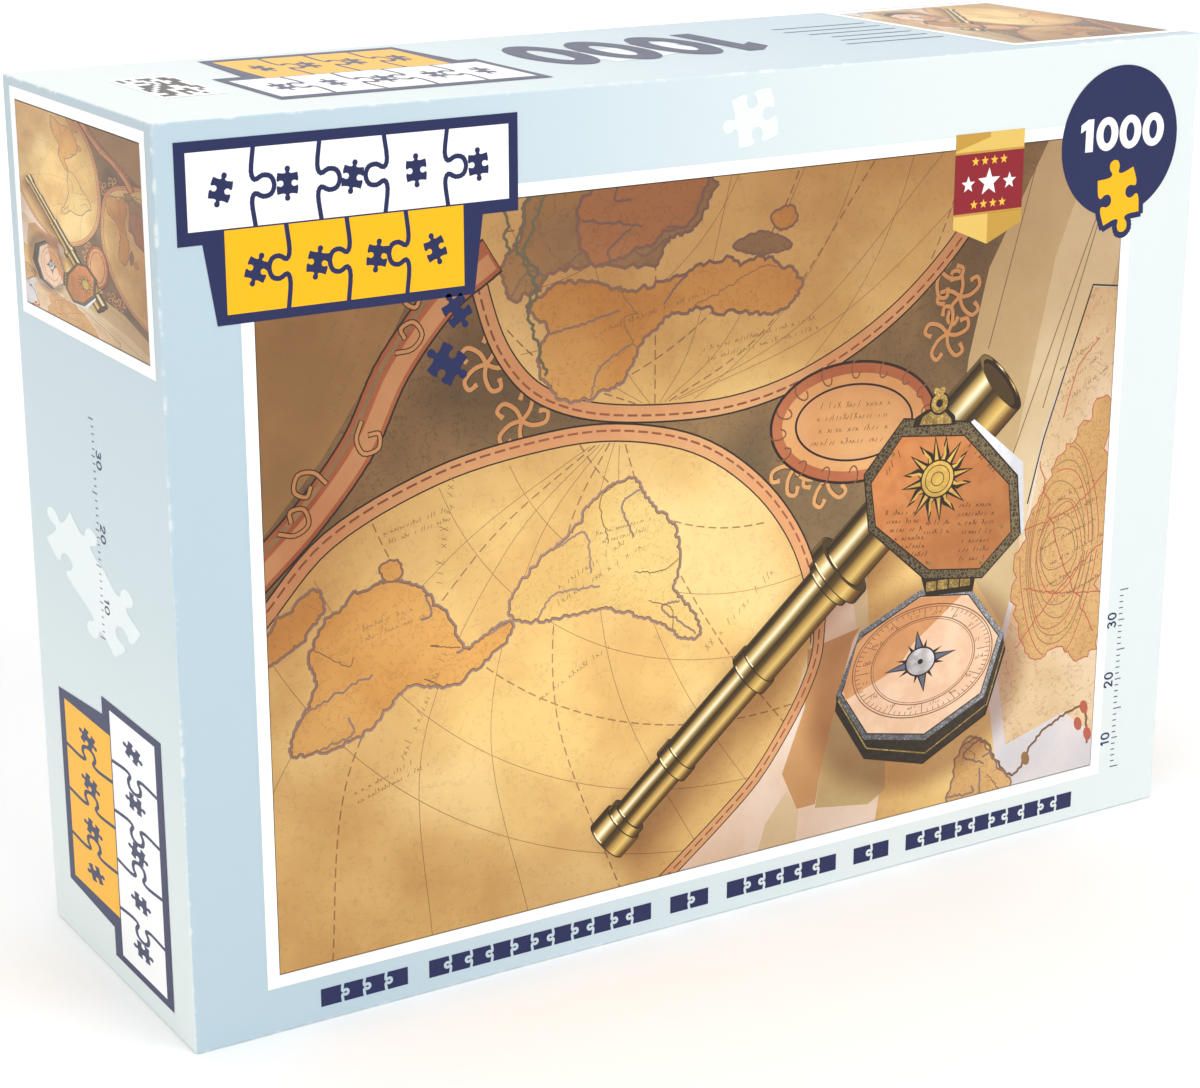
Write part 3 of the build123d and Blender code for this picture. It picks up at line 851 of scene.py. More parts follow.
roundness = 0.27  # how far a tube's circles open towards us


def tubeLoop(first, last, width):
    angles = [math.radians(-90 + 180 * step / 12) for step in range(13)]
    near = [(first - roundness * width * math.cos(a), width * math.sin(a)) for a in angles]
    far = [(last + roundness * width * math.cos(a), width * math.sin(a)) for a in angles[::-1]]
    return [glassPoint(*point) for point in near + far]


def tubeFace(along, width, share=1.0):
    angles = [2 * math.pi * step / 32 for step in range(32)]
    return [glassPoint(along + roundness * width * share * math.cos(a), width * share * math.sin(a)) for a in angles]


def glassPoint(along, across):
    spot = Vector((spyglass["startX"], spyglass["startY"])) + glassRun * along
    return tuple(spot + Vector((-glassRun.y, glassRun.x)) * across)


def paintSpyglass(sheet):  # from the eyepiece up: each wider tube lies over the one that slides into it
    tubes = [(0, 6.5, 7.3, "brassG"), (6.5, 9, 6.6, "brassF"), (9, 27, 5.2, "brassA"), (27, 31, 6.6, "brassF"),
             (31, 60, 6.0, "brassB"), (60, 64, 7.8, "brassG"), (64, 94, 7.2, "brassC"), (94, 97, 9.0, "brassD"),
             (97, 101, 11.6, "brassE"), (101, 149, 8.6, "brassD"), (149, 151.5, 11.8, "brassE"),
             (151.5, 171, 11.2, "brassE")]
    for first, last, width, ink in tubes:
        sheet.fill("darkInk", tubeLoop(first - 0.25, last + 0.2, width + 0.2))
        sheet.fill(ink, tubeLoop(first, last, width))
        sheet.fill("brassShade", tubeFace(last, width, 0.97))
        sheet.line("brassGlint", [glassPoint(first + 0.35 - roundness * width * math.cos(a), width * math.sin(a))
                                  for a in (0.15, 0.35, 0.55, 0.75)], 0.3)
    sheet.fill("brassG", tubeFace(171, 11.2))
    sheet.fill("darkInk", tubeFace(171, 11.2, 0.86))
    sheet.fill("brassShade", tubeFace(170.2, 11.2, 0.78))


def star(middle, wide, tall, points, waist, turn=math.pi / 2):
    loop = []
    for step in range(points * 2):
        reach = 1 if step % 2 == 0 else waist
        angle = turn + math.pi * step / points
        loop.append((middle[0] + wide * reach * math.cos(angle), middle[1] + tall * reach * math.sin(angle)))
    return loop


def paintCompass(sheet, dice):
    sheet.fill("darkInk", inset(smoothLoop(picture["dishSide"][:7], 1) + picture["dishSide"][7:], -0.6))
    sheet.fill("boxSide", picture["dishSide"])
    for (ax, ay), (bx, by) in zip(picture["dishSide"][1:5], picture["dishSide"][2:6]):
        sheet.line("brassPlain", [(ax + 0.6, ay + 2.6), (bx + 0.4, by + 2.8)], 0.4)
    sheet.fill("rimSteel", picture["dishEdge"])
    face = inset(picture["dishEdge"], 2.1)
    sheet.fill("darkInk", inset(picture["dishEdge"], 1.7))
    sheet.fill("roseFace", face)
    sheet.fill("roseShade", [(204, 72), (206.5, 74), (226, 82), (241, 80), (224, 68.5), (219, 62), (200.5, 55.8),
                             (199.6, 58.5)])
    for wide, tall, width in ((25.2, 16.8, 0.34), (24.4, 16.1, 0.2), (18.7, 13.0, 0.3), (18.0, 12.4, 0.18)):
        sheet.line("roseLine", ellipse((228, 62.5), wide, tall, 72), width, True)
    for step in range(72 if sheet.fine else 0):
        c, s = math.cos(step * math.pi / 36), math.sin(step * math.pi / 36)
        reach = 0.80 if step % 6 == 0 else 0.93
        sheet.line("roseLine", [(228 + 24.4 * c * reach, 62.5 + 16.1 * s * reach), (228 + 24.4 * c, 62.5 + 16.1 * s)], 0.2)
    for step in range(16):
        c, s = math.cos(0.2 + step * math.pi / 8), math.sin(0.2 + step * math.pi / 8)
        smallWriting(sheet, (228 + 20.6 * c - 1.4, 62.5 + 14.0 * s - 0.4), (1, 0.1), 1, 3.2, 2, "roseLine", dice, 1.1)
    sheet.fill("darkInk", star((226.9, 62.5), 9.0, 6.6, 8, 0.34, 0.55))
    sheet.fill("darkInk", star((226.9, 62.5), 13.2, 9.8, 4, 0.26, 0.12))
    sheet.fill("softGrey", star((226.9, 62.5), 12.2, 9.0, 4, 0.2, 0.12))
    sheet.fill("darkInk", ellipse((226.9, 62.5), 5.6, 4.5, 32))
    sheet.fill("dialSilver", ellipse((226.9, 62.5), 5.0, 4.0, 32))
    sheet.fill("darkInk", ellipse((226.9, 62.5), 1.0, 0.8, 16))
    # hinge
    sheet.fill("darkInk", [(226, 88), (228, 82), (245, 80.6), (246, 86)])
    for number in range(4):
        left = 228 + number * 4.1
        sheet.fill("brassPlain", [(left, 83.4 - number * 0.2), (left + 3.6, 83.2 - number * 0.2),
                                  (left + 3.6, 86.0 - number * 0.2), (left, 86.3 - number * 0.2)])
    # lid
    sheet.fill("darkInk", inset(picture["lidEdge"], -0.5))
    sheet.fill("lidSide", [(240.6, 130.8), (243.0, 132.0), (261.6, 116.8), (263.2, 95.8), (261.4, 94.8), (259.6, 113)])
    sheet.fill("rimWood", picture["lidEdge"])
    sheet.line("darkInk", [(241.5, 131.3), (259.7, 113), (261.8, 95.3)], 0.5)
    sheet.fill("darkInk", inset(picture["lidPanel"], -0.4))
    sheet.fill("lidFace", picture["lidPanel"])
    panelTurn = (0.985, -0.12)
    for row in range(7):
        y = 107.5 - row * 2.7
        smallWriting(sheet, (211 + row * 1.6, y + 1.2), panelTurn, 1, 14 - row * 0.9, 2, "darkInk", dice, 1.5)
        smallWriting(sheet, (238 + row * 0.2, y - 0.6), panelTurn, 1, 16 - row * 0.6, 2, "darkInk", dice, 1.5)
    smallWriting(sheet, (212, 119.5), (0.7, 0.72), 1, 9, 2, "darkInk", dice, 2.0)
    smallWriting(sheet, (240, 125), (0.75, -0.68), 1, 15, 2, "darkInk", dice, 2.0)
    smallWriting(sheet, (226, 103.5), panelTurn, 2, 10, 2.6, "darkInk", dice, 1.3)
    middle = (230.6, 116.4)
    for step in range(16):  # sun: straight and flaming rays by turns
        angle = step * math.pi / 8 + 0.1
        if step % 2:
            ray = [(5.6, -1.5), (8, -1.8), (10, -0.4), (12.6, 1.0), (9.8, 1.1), (8, -0.2), (5.6, 1.3)]
        else:
            ray = [(5.6, -1.6), (12.9, 0), (5.6, 1.6)]
        sheet.fill("darkInk", turned(ray, middle, angle))
        sheet.fill("sunFace", turned([(x * 0.86 + 0.5, y * 0.45 + (0.1 if step % 2 else 0)) for x, y in ray],
                                     middle, angle))
    sheet.fill("darkInk", ellipse(middle, 6.1, 5.7, 48))
    sheet.fill("sunFace", ellipse(middle, 5.6, 5.2, 48))
    sheet.line("darkInk", ellipse(middle, 4.3, 4.0, 40), 0.25, True)
    sheet.line("darkInk", ellipse(middle, 2.2, 2.0, 32), 0.25, True)
    for x, y in ((214.5, 125.8), (254.6, 98.5), (228.8, 91.6), (247.5, 89)):
        sheet.fill("brassPlain", ellipse((x, y), 0.7, 0.7, 10))
    # clasp on the lid's edge
    sheet.fill("darkInk", [(221, 132.6), (222, 135.4), (226, 137.2), (233, 136.8), (236, 134), (236.4, 131.4)])
    sheet.fill("brassPlain", [(223.5, 133), (224.5, 135.2), (227, 136.4), (232, 136), (234.6, 133.4), (234.8, 132)])
    sheet.fill("darkInk", ellipse((230.3, 138.4), 3.5, 3.4, 24))
    sheet.fill("brassPlain", ellipse((230.3, 138.4), 2.9, 2.8, 24))
    sheet.fill("darkInk", ellipse((230.3, 138.4), 1.2, 1.2, 16))
    sheet.fill("brassPlain", ellipse((231.2, 142), 1.0, 1.0, 12))
    sheet.fill("brassPlain", ellipse((229.2, 142), 1.0, 1.0, 12))


def paintPicture(fine=True):  # the small copies on the sides do without the finest strokes
    dice = random.Random(11)
    sheet = Print("oldPaper", rectangle(picture["left"], picture["low"], picture["right"], picture["high"]), fine)
    paintCharts(sheet, dice)
    paintRightSide(sheet, dice)
    paintSpyglass(sheet)
    paintCompass(sheet, dice)
    return sheet


paintedPicture, smallPicture = paintPicture(), paintPicture(False)
print("the picture is drawn")


# ---- the rest of the print: piece clusters, badge, ribbon, ruler, strip ----

knobEdge = [(0.0, 0.0), (0.3, -0.04), (0.41, 0.01), (0.365, 0.13), (0.39, 0.25), (0.5, 0.3), (0.61, 0.25),
            (0.635, 0.13), (0.59, 0.01), (0.7, -0.04)]  # a piece's side, from one corner to the next


def pieceLoop(corner, size, knobs):
    # one puzzle piece: knobs tells for bottom, right, top and left whether a knob goes out (1), in (-1) or neither
    x, y = corner
    wide, tall = size
    corners = [(x, y), (x + wide, y), (x + wide, y + tall), (x, y + tall)]
    loop = []
    for number, knob in enumerate(knobs):
        start, end = Vector(corners[number]), Vector(corners[(number + 1) % 4])
        side = end - start
        out = Vector((side.y, -side.x))
        out = out / out.length * min(wide, tall)
        if knob:
            rounded = smoothRun(knobEdge + [(1.0, 0.0)], 3)[:-1]
            loop += [tuple(start + side * along + out * away * knob) for along, away in rounded]
        else:
            loop.append(tuple(start))
    return loop


def clusterLoops(corner, cell, columns, rows, dice, open_=False):
    # pieces that lock into each other, row by row from the bottom; open_ leaves knobs on the outer sides
    wide, tall = cell
    across = [[dice.choice((-1, 1)) for _ in range(columns + 1)] for _ in range(rows)]
    upward = [[dice.choice((-1, 1)) for _ in range(columns)] for _ in range(rows + 1)]
    loops = []
    for row in range(rows):
        for column in range(columns):
            bottom = -upward[row][column] if row or open_ else 0
            top = upward[row + 1][column] if row < rows - 1 or open_ else 0
            left = -across[row][column] if column or open_ else 0
            right = across[row][column + 1] if column < columns - 1 or open_ else 0
            loops.append((row, column, pieceLoop((corner[0] + column * wide, corner[1] + row * tall), cell,
                                                 (bottom, right, top, left))))
    return loops


def lockedRow(sheet, ink, seamInk, corner, cell, count, seam, dice):  # one row of pieces, seam by seam
    (x, y), (wide, tall) = corner, cell
    sheet.fill(ink, rectangle(x, y, x + wide * count, y + tall))
    for column in range(1, count):
        way = dice.choice((-1, 1)) * min(wide, tall)
        run = smoothRun(knobEdge + [(1.0, 0.0)], 3)
        sheet.line(seamInk, [(x + column * wide + away * way, y + along * tall) for along, away in run], seam)


digitStrokes = {
    "0": [arc((0.3, 0.5), 0.3, 0.5, 0, 360, 24)],
    "1": [[(0.08, 0.78), (0.32, 1.0), (0.32, 0.0)]],
    "2": [smoothRun([(0.02, 0.75), (0.12, 0.96), (0.4, 0.98), (0.56, 0.76), (0.44, 0.5), (0.04, 0.02)], 4)
          + [(0.58, 0.02)]],
    "3": [smoothRun([(0.03, 0.88), (0.26, 1.0), (0.52, 0.84), (0.44, 0.6), (0.24, 0.54)], 4)
          + smoothRun([(0.24, 0.54), (0.52, 0.42), (0.54, 0.16), (0.28, 0.0), (0.02, 0.12)], 4)[1:]],
    "4": [[(0.46, 0.0), (0.46, 1.0), (0.0, 0.3), (0.62, 0.3)]],
    "5": [[(0.54, 1.0), (0.1, 1.0), (0.06, 0.55)] + smoothRun([(0.06, 0.55), (0.36, 0.62), (0.56, 0.34),
                                                             (0.38, 0.02), (0.02, 0.06)], 4)[1:]],
    "6": [smoothRun([(0.48, 1.0), (0.12, 0.66), (0.04, 0.3), (0.2, 0.0), (0.5, 0.08), (0.54, 0.38), (0.3, 0.56),
                     (0.06, 0.38)], 4)],
}


def drawNumber(sheet, ink, number, corner, height, width, angle=0.0, gap=0.28, wide=1.0):
    here = 0.0
    for digit in number:
        for stroke in digitStrokes[digit]:
            points = [((x * wide + here) * height, y * height) for x, y in stroke]
            sheet.line(ink, turned(points, corner, angle), width)
        here += (0.45 if digit == "1" else 0.62) * wide + gap


def boldThousand(sheet, ink, hole, middle, height, angle=0.0):
    # the piece count in heavy rounded figures
    unit = height
    shapes = [(ink, [(-1.52, -0.5), (-1.22, -0.5), (-1.22, 0.5), (-1.44, 0.5), (-1.72, 0.34), (-1.72, 0.1),
                     (-1.52, 0.2)])]
    for number in range(3):
        x = -0.66 + number * 0.93
        shapes.append((ink, ellipse((x, 0), 0.44, 0.52, 32)))
        shapes.append((hole, ellipse((x, 0), 0.165, 0.29, 24)))
    for shapeInk, loop in shapes:
        sheet.fill(shapeInk, turned([(x * unit, y * unit) for x, y in loop], middle, angle))


whole = {"width": boxWidth, "height": boxHeight, "depth": lidDepth}
badge = {"middle": (291.5, 206.5), "size": 21.4, "figures": 9.2, "piece": (292, 190.8), "pieceSize": 13.4}
ribbon = {"left": 232.5, "right": 256.5, "high": 213, "redLow": 190.5, "redHigh": 208, "low": 182}
head = {"whiteCorner": (8, 209), "whiteCell": (17, 18.4), "amberCorner": (17, 188.6), "amberCell": (15.8, 20),
        "box": (5.2, 186.2, 95.2, 230)}
strip = {"left": 35, "low": 4.2, "right": 287, "high": 9.2, "runs": (4, 11, 2, 6, 2, 10)}


def bareSheet(left=0.2, low=0.2, right=None, high=None):
    return Print(None, rectangle(left, low, right or whole["width"] - 0.2, high or whole["height"] - 0.2))


def paintHead():  # a white row of pieces over an amber one, on navy
    dice = random.Random(5)
    sheet = bareSheet()
    sheet.fill("navy", [(14.4, 186.2), (83.0, 186.2), (85.6, 205.8), (95.6, 205.8), (95.6, 230), (5.2, 230),
                        (5.2, 205.8), (11.4, 205.8)])
    lockedRow(sheet, "white", "navy", head["whiteCorner"], head["whiteCell"], 5, 1.2, dice)
    lockedRow(sheet, "amber", "navy", head["amberCorner"], head["amberCell"], 4, 1.2, dice)
    for corner, cell, count in ((head["whiteCorner"], head["whiteCell"], 5),
                                (head["amberCorner"], head["amberCell"], 4)):
        for column in range(count):  # a little piece in the middle of each
            spot = (corner[0] + (column + 0.5) * cell[0], corner[1] + cell[1] * 0.5)
            small = pieceLoop((-2.6, -2.6), (5.2, 5.2), (1, -1, 1, -1))
            sheet.fill("navy", turned(small, spot, dice.uniform(-0.4, 0.4)))
    return sheet


def paintLoosePieces():
    sheet = bareSheet()
    for middle, size, angle in (((78, 182.6), 6.4, 0.55), ((75, 169.5), 8.2, 0.95)):
        loop = pieceLoop((-size / 2, -size / 2), (size, size), (1, -1, 1, -1))
        sheet.fill("navy", turned(loop, middle, angle))
    return sheet


def paintBadge():
    sheet = bareSheet()
    sheet.fill("navy", ellipse(badge["middle"], badge["size"], badge["size"], 96))
    boldThousand(sheet, "white", "navy", (badge["middle"][0] + 1.2, badge["middle"][1] + 2.4), badge["figures"])
    half = badge["pieceSize"] / 2
    loop = turned(pieceLoop((-half, -half), (2 * half, 2 * half), (1, -1, 1, -1)), badge["piece"], 0.22)
    sheet.line("navy", loop, 3.4, True)
    sheet.fill("amber", loop)
    return sheet


def paintRibbon():
    r = ribbon
    middle, fold = 0.5 * (r["left"] + r["right"]), r["redLow"] - 3.4
    sheet = bareSheet()
    sheet.fill("ribbonGold", [(r["left"], r["high"]), (r["left"], fold), (middle, r["low"]), (r["right"], fold),
                              (r["right"], r["high"])])
    sheet.fill("ribbonShade", [(r["left"], r["high"]), (r["left"], r["high"] - 4.6), (middle, r["high"] - 1.4),
                               (middle, r["high"])])
    sheet.fill("ribbonShade", [(middle, r["low"]), (middle, r["redLow"]), (r["right"], r["redLow"]),
                               (r["right"], fold)])
    sheet.fill("ribbonRed", rectangle(r["left"], r["redLow"], r["right"], r["redHigh"]))
    for height in (r["redLow"] + 0.3, r["redHigh"] - 0.3):
        sheet.line("ribbonShade", [(r["left"], height), (r["right"], height)], 0.5)
    for height in (205.2, 193.3):
        for number in range(4):
            sheet.fill("starGold", star((middle + (number - 1.5) * 3.3, height), 1.35, 1.35, 5, 0.42))
    sheet.fill("white", star((middle, 199.2), 4.0, 4.0, 5, 0.42))
    for side in (-1, 1):
        sheet.fill("white", star((middle + side * 7.2, 199.0), 2.4, 2.4, 5, 0.42))
    return sheet


def drawStrip(sheet):  # rows of small locked pieces under the picture, with gaps between them
    wide = (strip["right"] - strip["left"]) / (sum(strip["runs"]) + len(strip["runs"]) - 1)
    left, dice = strip["left"], random.Random(9)
    for count in strip["runs"]:
        lockedRow(sheet, "navy", None, (left, strip["low"]), (wide, strip["high"] - strip["low"]), count, 0.8, dice)
        left += (count + 1) * wide


def drawRuler(sheet, start, length, way, turn):  # upright rule; way is the side of its ticks, turn reads up or down
    x, y = start
    for number in range(31):
        height = y + length * number / 30
        reach = (3.0 if number % 10 == 0 else 2.1 if number % 5 == 0 else 1.3) * way
        sheet.line("navy", [(x, height), (x + reach, height)], 0.3)
    for number in (1, 2, 3):
        height = y + length * (number - 0.5) / 3
        drawNumber(sheet, "navy", "%d0" % number, (x - way * 1.2, height - turn * 2), 3.0, 0.55, turn * math.pi / 2)


def drawGhost(sheet, middle, size, angle, stretch=1.0, count=1):  # pale pieces in the ground
    loops = clusterLoops((-size * count / 2, -size / 2), (size, size), count, 1, random.Random(count), True)
    for row, column, loop in loops:
        sheet.fill("paleGhost", [(middle[0] + (x - middle[0]) * stretch, y) for x, y in turned(loop, middle, angle)])


def fitted(box, target, quarters):  # moves a box of the front's print onto another face, in quarter turns clockwise
    def place(point):
        across = (point[0] - box[0]) / (box[2] - box[0])
        up = (point[1] - box[1]) / (box[3] - box[1])
        for _ in range(quarters):
            across, up = up, 1 - across
        return (target[0] + across * (target[2] - target[0]), target[1] + up * (target[3] - target[1]))
    return place


pictureBox = (picture["left"], picture["low"], picture["right"], picture["high"])
headSheet, badgeSheet, ribbonSheet = paintHead(), paintBadge(), paintRibbon()


def printFront():
    rim = picture["frame"]
    rimSheet = Print("white", rectangle(picture["left"] - rim, picture["low"] - rim, picture["right"] + rim,
                                        picture["high"] + rim))
    rimSheet.fill(None, inset(rectangle(*pictureBox), 0.3))
    rimSheet.make("print_frame", frontFace, 0.05 * mm, "lid", "printed_paper")
    paintedPicture.make("print_picture", frontFace, 0.05 * mm, "lid", "printed_paper")
    headSheet.make("print_cluster", frontFace, 0.1 * mm, "lid", "printed_paper")
    paintLoosePieces().make("print_loose_pieces", frontFace, 0.1 * mm, "lid", "printed_paper")
    badgeSheet.make("print_badge", frontFace, 0.1 * mm, "lid", "printed_paper")
    ribbonSheet.make("print_ribbon", frontFace, 0.1 * mm, "lid", "printed_paper")
    marks = bareSheet()
    drawGhost(marks, (166, 223), 12.5, 0.2)
    drawStrip(marks)
    drawRuler(marks, (302, 14), 57, 1, 1)
    marks.make("print_front_marks", frontFace, 0.05 * mm, "lid", "printed_paper")


def printSide(name, face):  # the narrow ends: small picture, rule, pale pieces, cluster
    target = (8, 177, 90, 229.5)
    marks = bareSheet(right=whole["depth"] - 0.2)
    marks.fill("white", rectangle(4.6, 174, 93.2, 232.5))
    marks.fill(None, inset(rectangle(*target), 0.3))
    drawGhost(marks, (43, 110), 15.5, -0.7, 1.9, 2)
    drawRuler(marks, (50, 97), 58, -1, -1)
    marks.make("print_%s_marks" % name, face, 0.05 * mm, "lid", "printed_paper")
    smallPicture.make("print_%s_picture" % name, face, 0.05 * mm, "lid", "printed_paper",
                        fitted(pictureBox, target, 1))
    headSheet.make("print_%s_cluster" % name, face, 0.1 * mm, "lid", "printed_paper",
                   fitted(head["box"], (13, 6.5, 84, 80), 1))


def printLong(name, face):  # the long narrow faces, upside down to the picture
    target = (259, 9, 316, 91)
    marks = bareSheet(high=whole["depth"] - 0.2)
    marks.fill("white", rectangle(256, 5, 318, 95))
    marks.fill(None, inset(rectangle(*target), 0.3))
    drawGhost(marks, (163, 49), 21, 0.25, 1.0, 2)
    dice = random.Random(21)
    marks.fill("white", rectangle(17.5, 34, 34.5, 70))
    for column in range(11):
        for row in range(11):
            if dice.random() < 0.5:
                left, low = 18.6 + column * 1.35, 36.2 + row * 2.9
                marks.fill("darkInk", rectangle(left, low, left + 1.36, low + 2.91))
    for row in range(6):  # plain rules where small print would be
        marks.line("navy", [(252, 69 - row * 7.4), (252 - dice.uniform(22, 35), 69 - row * 7.4)], 1.0)
    figures = bareSheet(high=whole["depth"] - 0.2)
    boldThousand(figures, "navy", None, (162, 54), 21, math.pi)
    marks.make("print_%s_marks" % name, face, 0.05 * mm, "lid", "printed_paper")
    figures.make("print_%s_figures" % name, face, 0.1 * mm, "lid", "printed_paper",
                 lambda point: (point[0], 54 + (point[1] - 54) * 1.9))
    smallPicture.make("print_%s_picture" % name, face, 0.05 * mm, "lid", "printed_paper",
                        fitted(pictureBox, target, 2))
    headSheet.make("print_%s_cluster" % name, face, 0.1 * mm, "lid", "printed_paper",
                   fitted(head["box"], (41, 17, 116, 91), 2))


printFront()
printSide("left", leftFace)
printSide("right", rightFace)
printLong("top", topFace)
printLong("bottom", bottomFace)
print("the print is on the box")


# ---- the sealed bag: thin film, creased where it is gathered into its end seals ----

bag = {"seal": 8.0, "round": 13.0, "swell": 3.2, "stations": 150, "around": 132}


def bagPoint(across, turn):
    # across runs from -1 to 1 between the seals, turn once round the bag's section
    halfWide = (bagHigh.x - bagLow.x) / 2 - bag["seal"] * mm
    halfDeep, halfTall = (bagHigh.y - bagLow.y) / 2, (bagHigh.z - bagLow.z) / 2
    middle = (bagLow + bagHigh) / 2
    corner = bag["round"] * mm
    x = across * halfWide
    fromEnd = halfWide - abs(x)
    pinch = 1.0 if fromEnd > corner else math.sqrt(max(0.0, 1 - (1 - fromEnd / corner) ** 2))
    deep = max(0.25 * mm, (halfDeep - corner) * min(1, pinch * 1.4) + corner * pinch if pinch < 1 else halfDeep)
    deep = min(deep, halfDeep)
    tall = halfTall - corner * (1 - pinch)
    c, s = math.cos(turn), math.sin(turn)
    power = 0.28  # a box with well rounded corners
    y = deep * math.copysign(abs(c) ** power, c)
    z = tall * math.copysign(abs(s) ** power, s)
    free = max(0.0, -y / halfDeep) + 0.8 * max(0.0, z / halfTall) * (abs(s) ** 6)  # only the front and the top have room
    pleat = max(0.0, noise.noise(Vector((x * 6, z * 95, y * 60)))) * math.exp(-fromEnd / 0.03)
    crease = abs(noise.noise(Vector((x * 16 + z * 9, y * 22, z * 21 + 3)))) + 0.5 * abs(
        noise.noise(Vector((x * 47 - z * 20, y * 50, z * 44))))
    swell = min(1.0, free) * (0.3 * (1 - across * across) + 1.1 * pleat + 0.75 * crease) * bag["swell"] * mm * pinch
    return Vector((x + middle.x, y + middle.y - swell * (0.9 if c < 0 else 0), z + middle.z + swell * max(0, s) ** 8))


def makeBag():
    stations, around = bag["stations"], bag["around"]
    points, faces = [], []
    for station in range(stations + 1):
        across = math.sin(math.pi * (station / stations - 0.5)) * 0.55 + (2 * station / stations - 1) * 0.45
        for step in range(around):
            points.append(bagPoint(across, 2 * math.pi * (step + 0.5) / around))
    for station in range(stations):
        for step in range(around):
            a, b = station * around + step, station * around + (step + 1) % around
            faces.append((a, a + around, b + around, b))
    mesh = bpy.data.meshes.new("bag_film")
    mesh.from_pydata(points, [], faces)
    mesh.polygons.foreach_set("use_smooth", [True] * len(faces))
    mesh.materials.append(clearFilm())
    film = bpy.data.objects.new("bag_film", mesh)
    bpy.context.scene.collection.objects.link(film)
    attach(film, "contents")
    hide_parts("puzzle_bag")
    for side, name in ((-1, "bag_seal_left"), (1, "bag_seal_right")):
        makeSeal(side, name)
    print("bag made", len(faces), "faces")


def makeSeal(side, name):  # flat crimped strip, ribbed along its length
    middle = (bagLow + bagHigh) / 2
    outer = (bagHigh.x - bagLow.x) / 2
    inner = outer - (bag["seal"] + 0.6) * mm
    tall = (bagHigh.z - bagLow.z) / 2 - bag["round"] * mm
    rows, columns = 110, 28
    points, faces = [], []
    for row in range(rows + 1):
        z = (2 * row / rows - 1) * tall
        for column in range(columns + 1):
            share = column / columns
            x = (inner + (outer - inner) * share) * side
            wave = 1.6 * mm * share * math.sin(z * 60 + side) * math.sin(z * 23)
            rib = 0.12 * mm * math.sin(share * math.pi * 10)
            notch = 0.35 * mm * (row % 2) * (column == columns)
            points.append((middle.x + x - notch * side, middle.y + wave + rib, middle.z + z))
    for row in range(rows):
        for column in range(columns):
            a = row * (columns + 1) + column
            faces.append((a, a + 1, a + columns + 2, a + columns + 1) if side < 0
                         else (a, a + columns + 1, a + columns + 2, a + 1))
    mesh = bpy.data.meshes.new(name)
    mesh.from_pydata(points, [], faces)
    mesh.polygons.foreach_set("use_smooth", [True] * len(faces))
    mesh.materials.append(clearFilm())
    strip_ = bpy.data.objects.new(name, mesh)
    bpy.context.scene.collection.objects.link(strip_)
    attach(strip_, "contents")


makeBag()


# ---- the CAD pieces' surfaces ----

board = {"colour": shade(156, 150, 138), "fleck": shade(112, 106, 98)}
greyBoard = plainBoard("greyBoard", board["colour"], board["fleck"], 0.5, 0.78)
kraftTape = plainBoard("kraftTape", shade(176, 138, 92), shade(150, 112, 70), 0.4, 0.6)
whiteLiner = plainBoard("whiteLiner", shade(238, 238, 234), shade(222, 222, 216), 0.5, 0.5)
piecesBoard = looseBoard()
paint("lid_wrap", paperGround())
paint("tray_wrap", whiteLiner)
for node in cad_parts:
    if node.endswith("_board"):
        paint(node, greyBoard)
    elif "_corner_stay_" in node:
        paint(node, kraftTape)
    elif node.startswith("puzzle_pieces_"):
        paint(node, piecesBoard)
print("box and puzzle pieces painted")


# ---- floor, lights and camera ----

room = {"floorWide": 6.0, "floorColour": shade(252, 252, 252), "ambient": 0.56, "backGlow": 0.36}


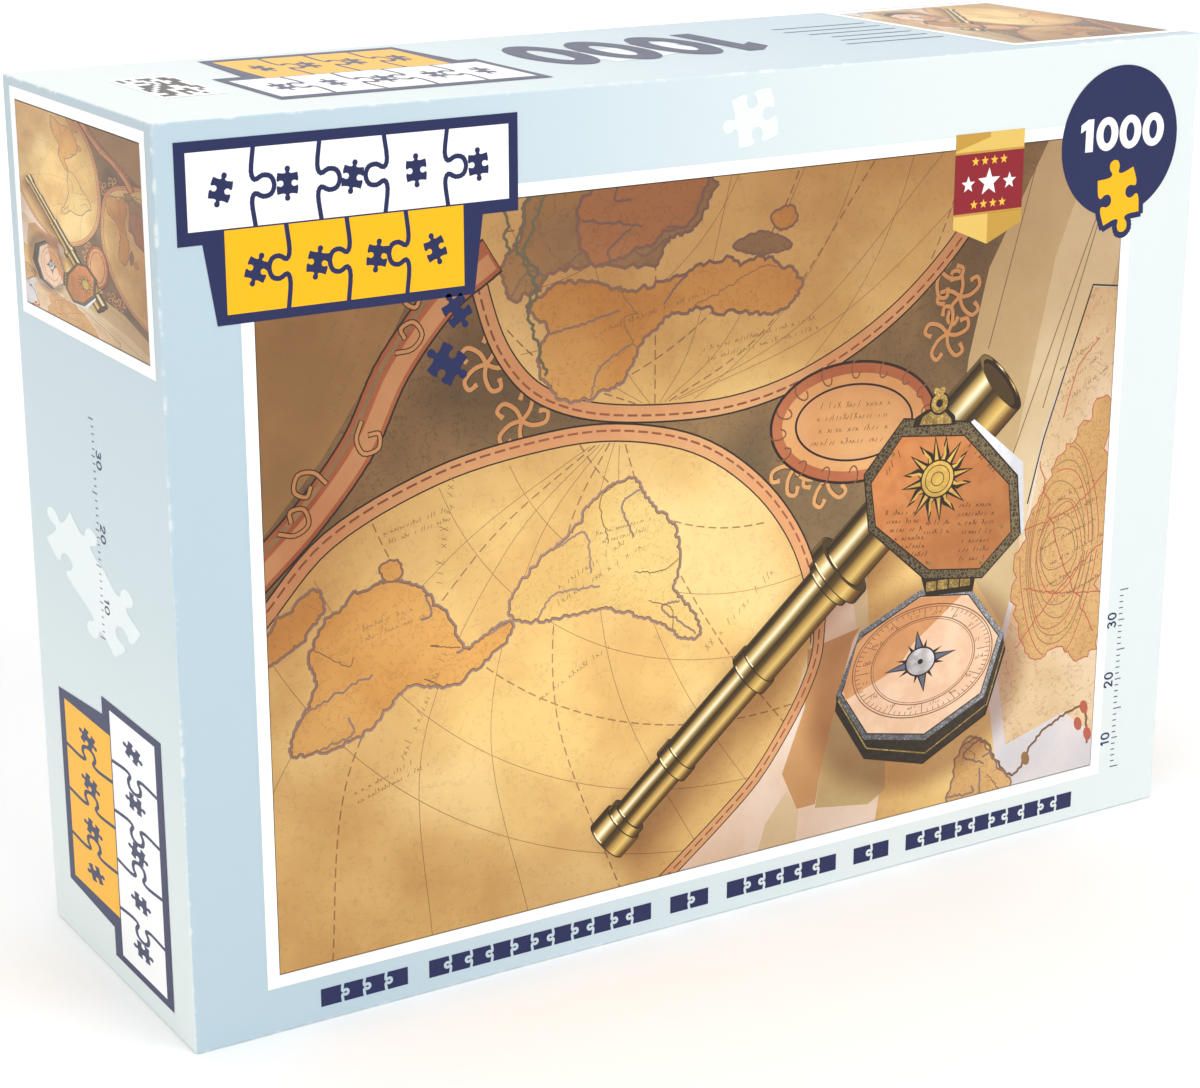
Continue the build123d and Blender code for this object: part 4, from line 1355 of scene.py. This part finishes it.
def makeFloor():
    half = room["floorWide"] / 2
    rows = []  # floor runs up into a backdrop far behind the box
    for step in range(13):
        angle = step / 12 * math.pi / 2
        rows.append((half + math.sin(angle) * 1.2, 1.2 - math.cos(angle) * 1.2))
    rows = [(-half, 0.0), (0.0, 0.0)] + rows + [(half + 1.2, 4.0)]
    points = [(side * half * 2, y, z) for y, z in rows for side in (-1, 1)]
    faces = [(2 * row, 2 * row + 1, 2 * row + 3, 2 * row + 2) for row in range(len(rows) - 1)]
    mesh = bpy.data.meshes.new("floor")
    mesh.from_pydata(points, [], faces)
    mesh.polygons.foreach_set("use_smooth", [True] * len(faces))
    finish = Finish("paleFloor")
    grain = finish.noise(finish.place(), 60, 3)
    # painted light: the floor glows, not at all near the box and fully far behind it
    farBack = finish.ease(finish.parts(finish.place())[1], 0.2, 1.7)
    mesh.materials.append(finish.surface({
        "Emission Color": finish.mix(farBack, (0, 0, 0, 1), (1, 1, 1, 1)), "Emission Strength": room["backGlow"],
        "Base Color": finish.dim(room["floorColour"], 0.985 + 0.02 * grain), "Roughness": 0.9,
        "Specular IOR Level": 0.1, "Normal": finish.bump(grain, 0.05, 0.0003)}))
    floor = bpy.data.objects.new("floor", mesh)
    bpy.context.scene.collection.objects.link(floor)


def softLight(name, place, aim, size, power, colour=(1, 1, 1)):
    lamp = bpy.data.lights.new(name, "AREA")
    lamp.shape = "RECTANGLE"
    lamp.size, lamp.size_y = size
    lamp.energy = power
    lamp.color = colour
    light = bpy.data.objects.new(name, lamp)
    light.location = place
    light.rotation_euler = (Vector(aim) - Vector(place)).to_track_quat("-Z", "Y").to_euler()
    bpy.context.scene.collection.objects.link(light)


makeFloor()
softLight("keyLight", (0.5, -1.9, 1.5), (0, 0, 0.12), (1.8, 1.4), 22)
softLight("fillLight", (-2.0, -0.9, 1.2), (0, 0, 0.1), (1.6, 1.6), 13)
softLight("topLight", (0.1, 0.1, 2.4), (0, 0, 0), (2.4, 2.4), 20)
sky = bpy.data.worlds.new("softRoom")
sky.use_nodes = True
sky.node_tree.nodes["Background"].inputs["Color"].default_value = (1, 1, 1, 1)
sky.node_tree.nodes["Background"].inputs["Strength"].default_value = room["ambient"]
bpy.context.scene.world = sky

view = {"azimuth": 31.49, "elevation": 17.52, "distance": 0.7702, "lens": 81.6, "aim": (-0.0107, 0, 0.0974)}


def makeCamera():
    lens = bpy.data.cameras.new("camera")
    lens.lens = view["lens"]
    lens.sensor_width = 36
    lens.sensor_fit = "HORIZONTAL"
    around, up = math.radians(view["azimuth"]), math.radians(view["elevation"])
    look = Vector((math.sin(around) * math.cos(up), math.cos(around) * math.cos(up), -math.sin(up)))
    camera = bpy.data.objects.new("camera", lens)
    camera.location = Vector(view["aim"]) - look * view["distance"]
    camera.rotation_euler = look.to_track_quat("-Z", "Y").to_euler()
    bpy.context.scene.collection.objects.link(camera)
    bpy.context.scene.camera = camera


makeCamera()
bpy.context.scene.view_settings.view_transform = "Standard"
print("floor, lights and camera are set")
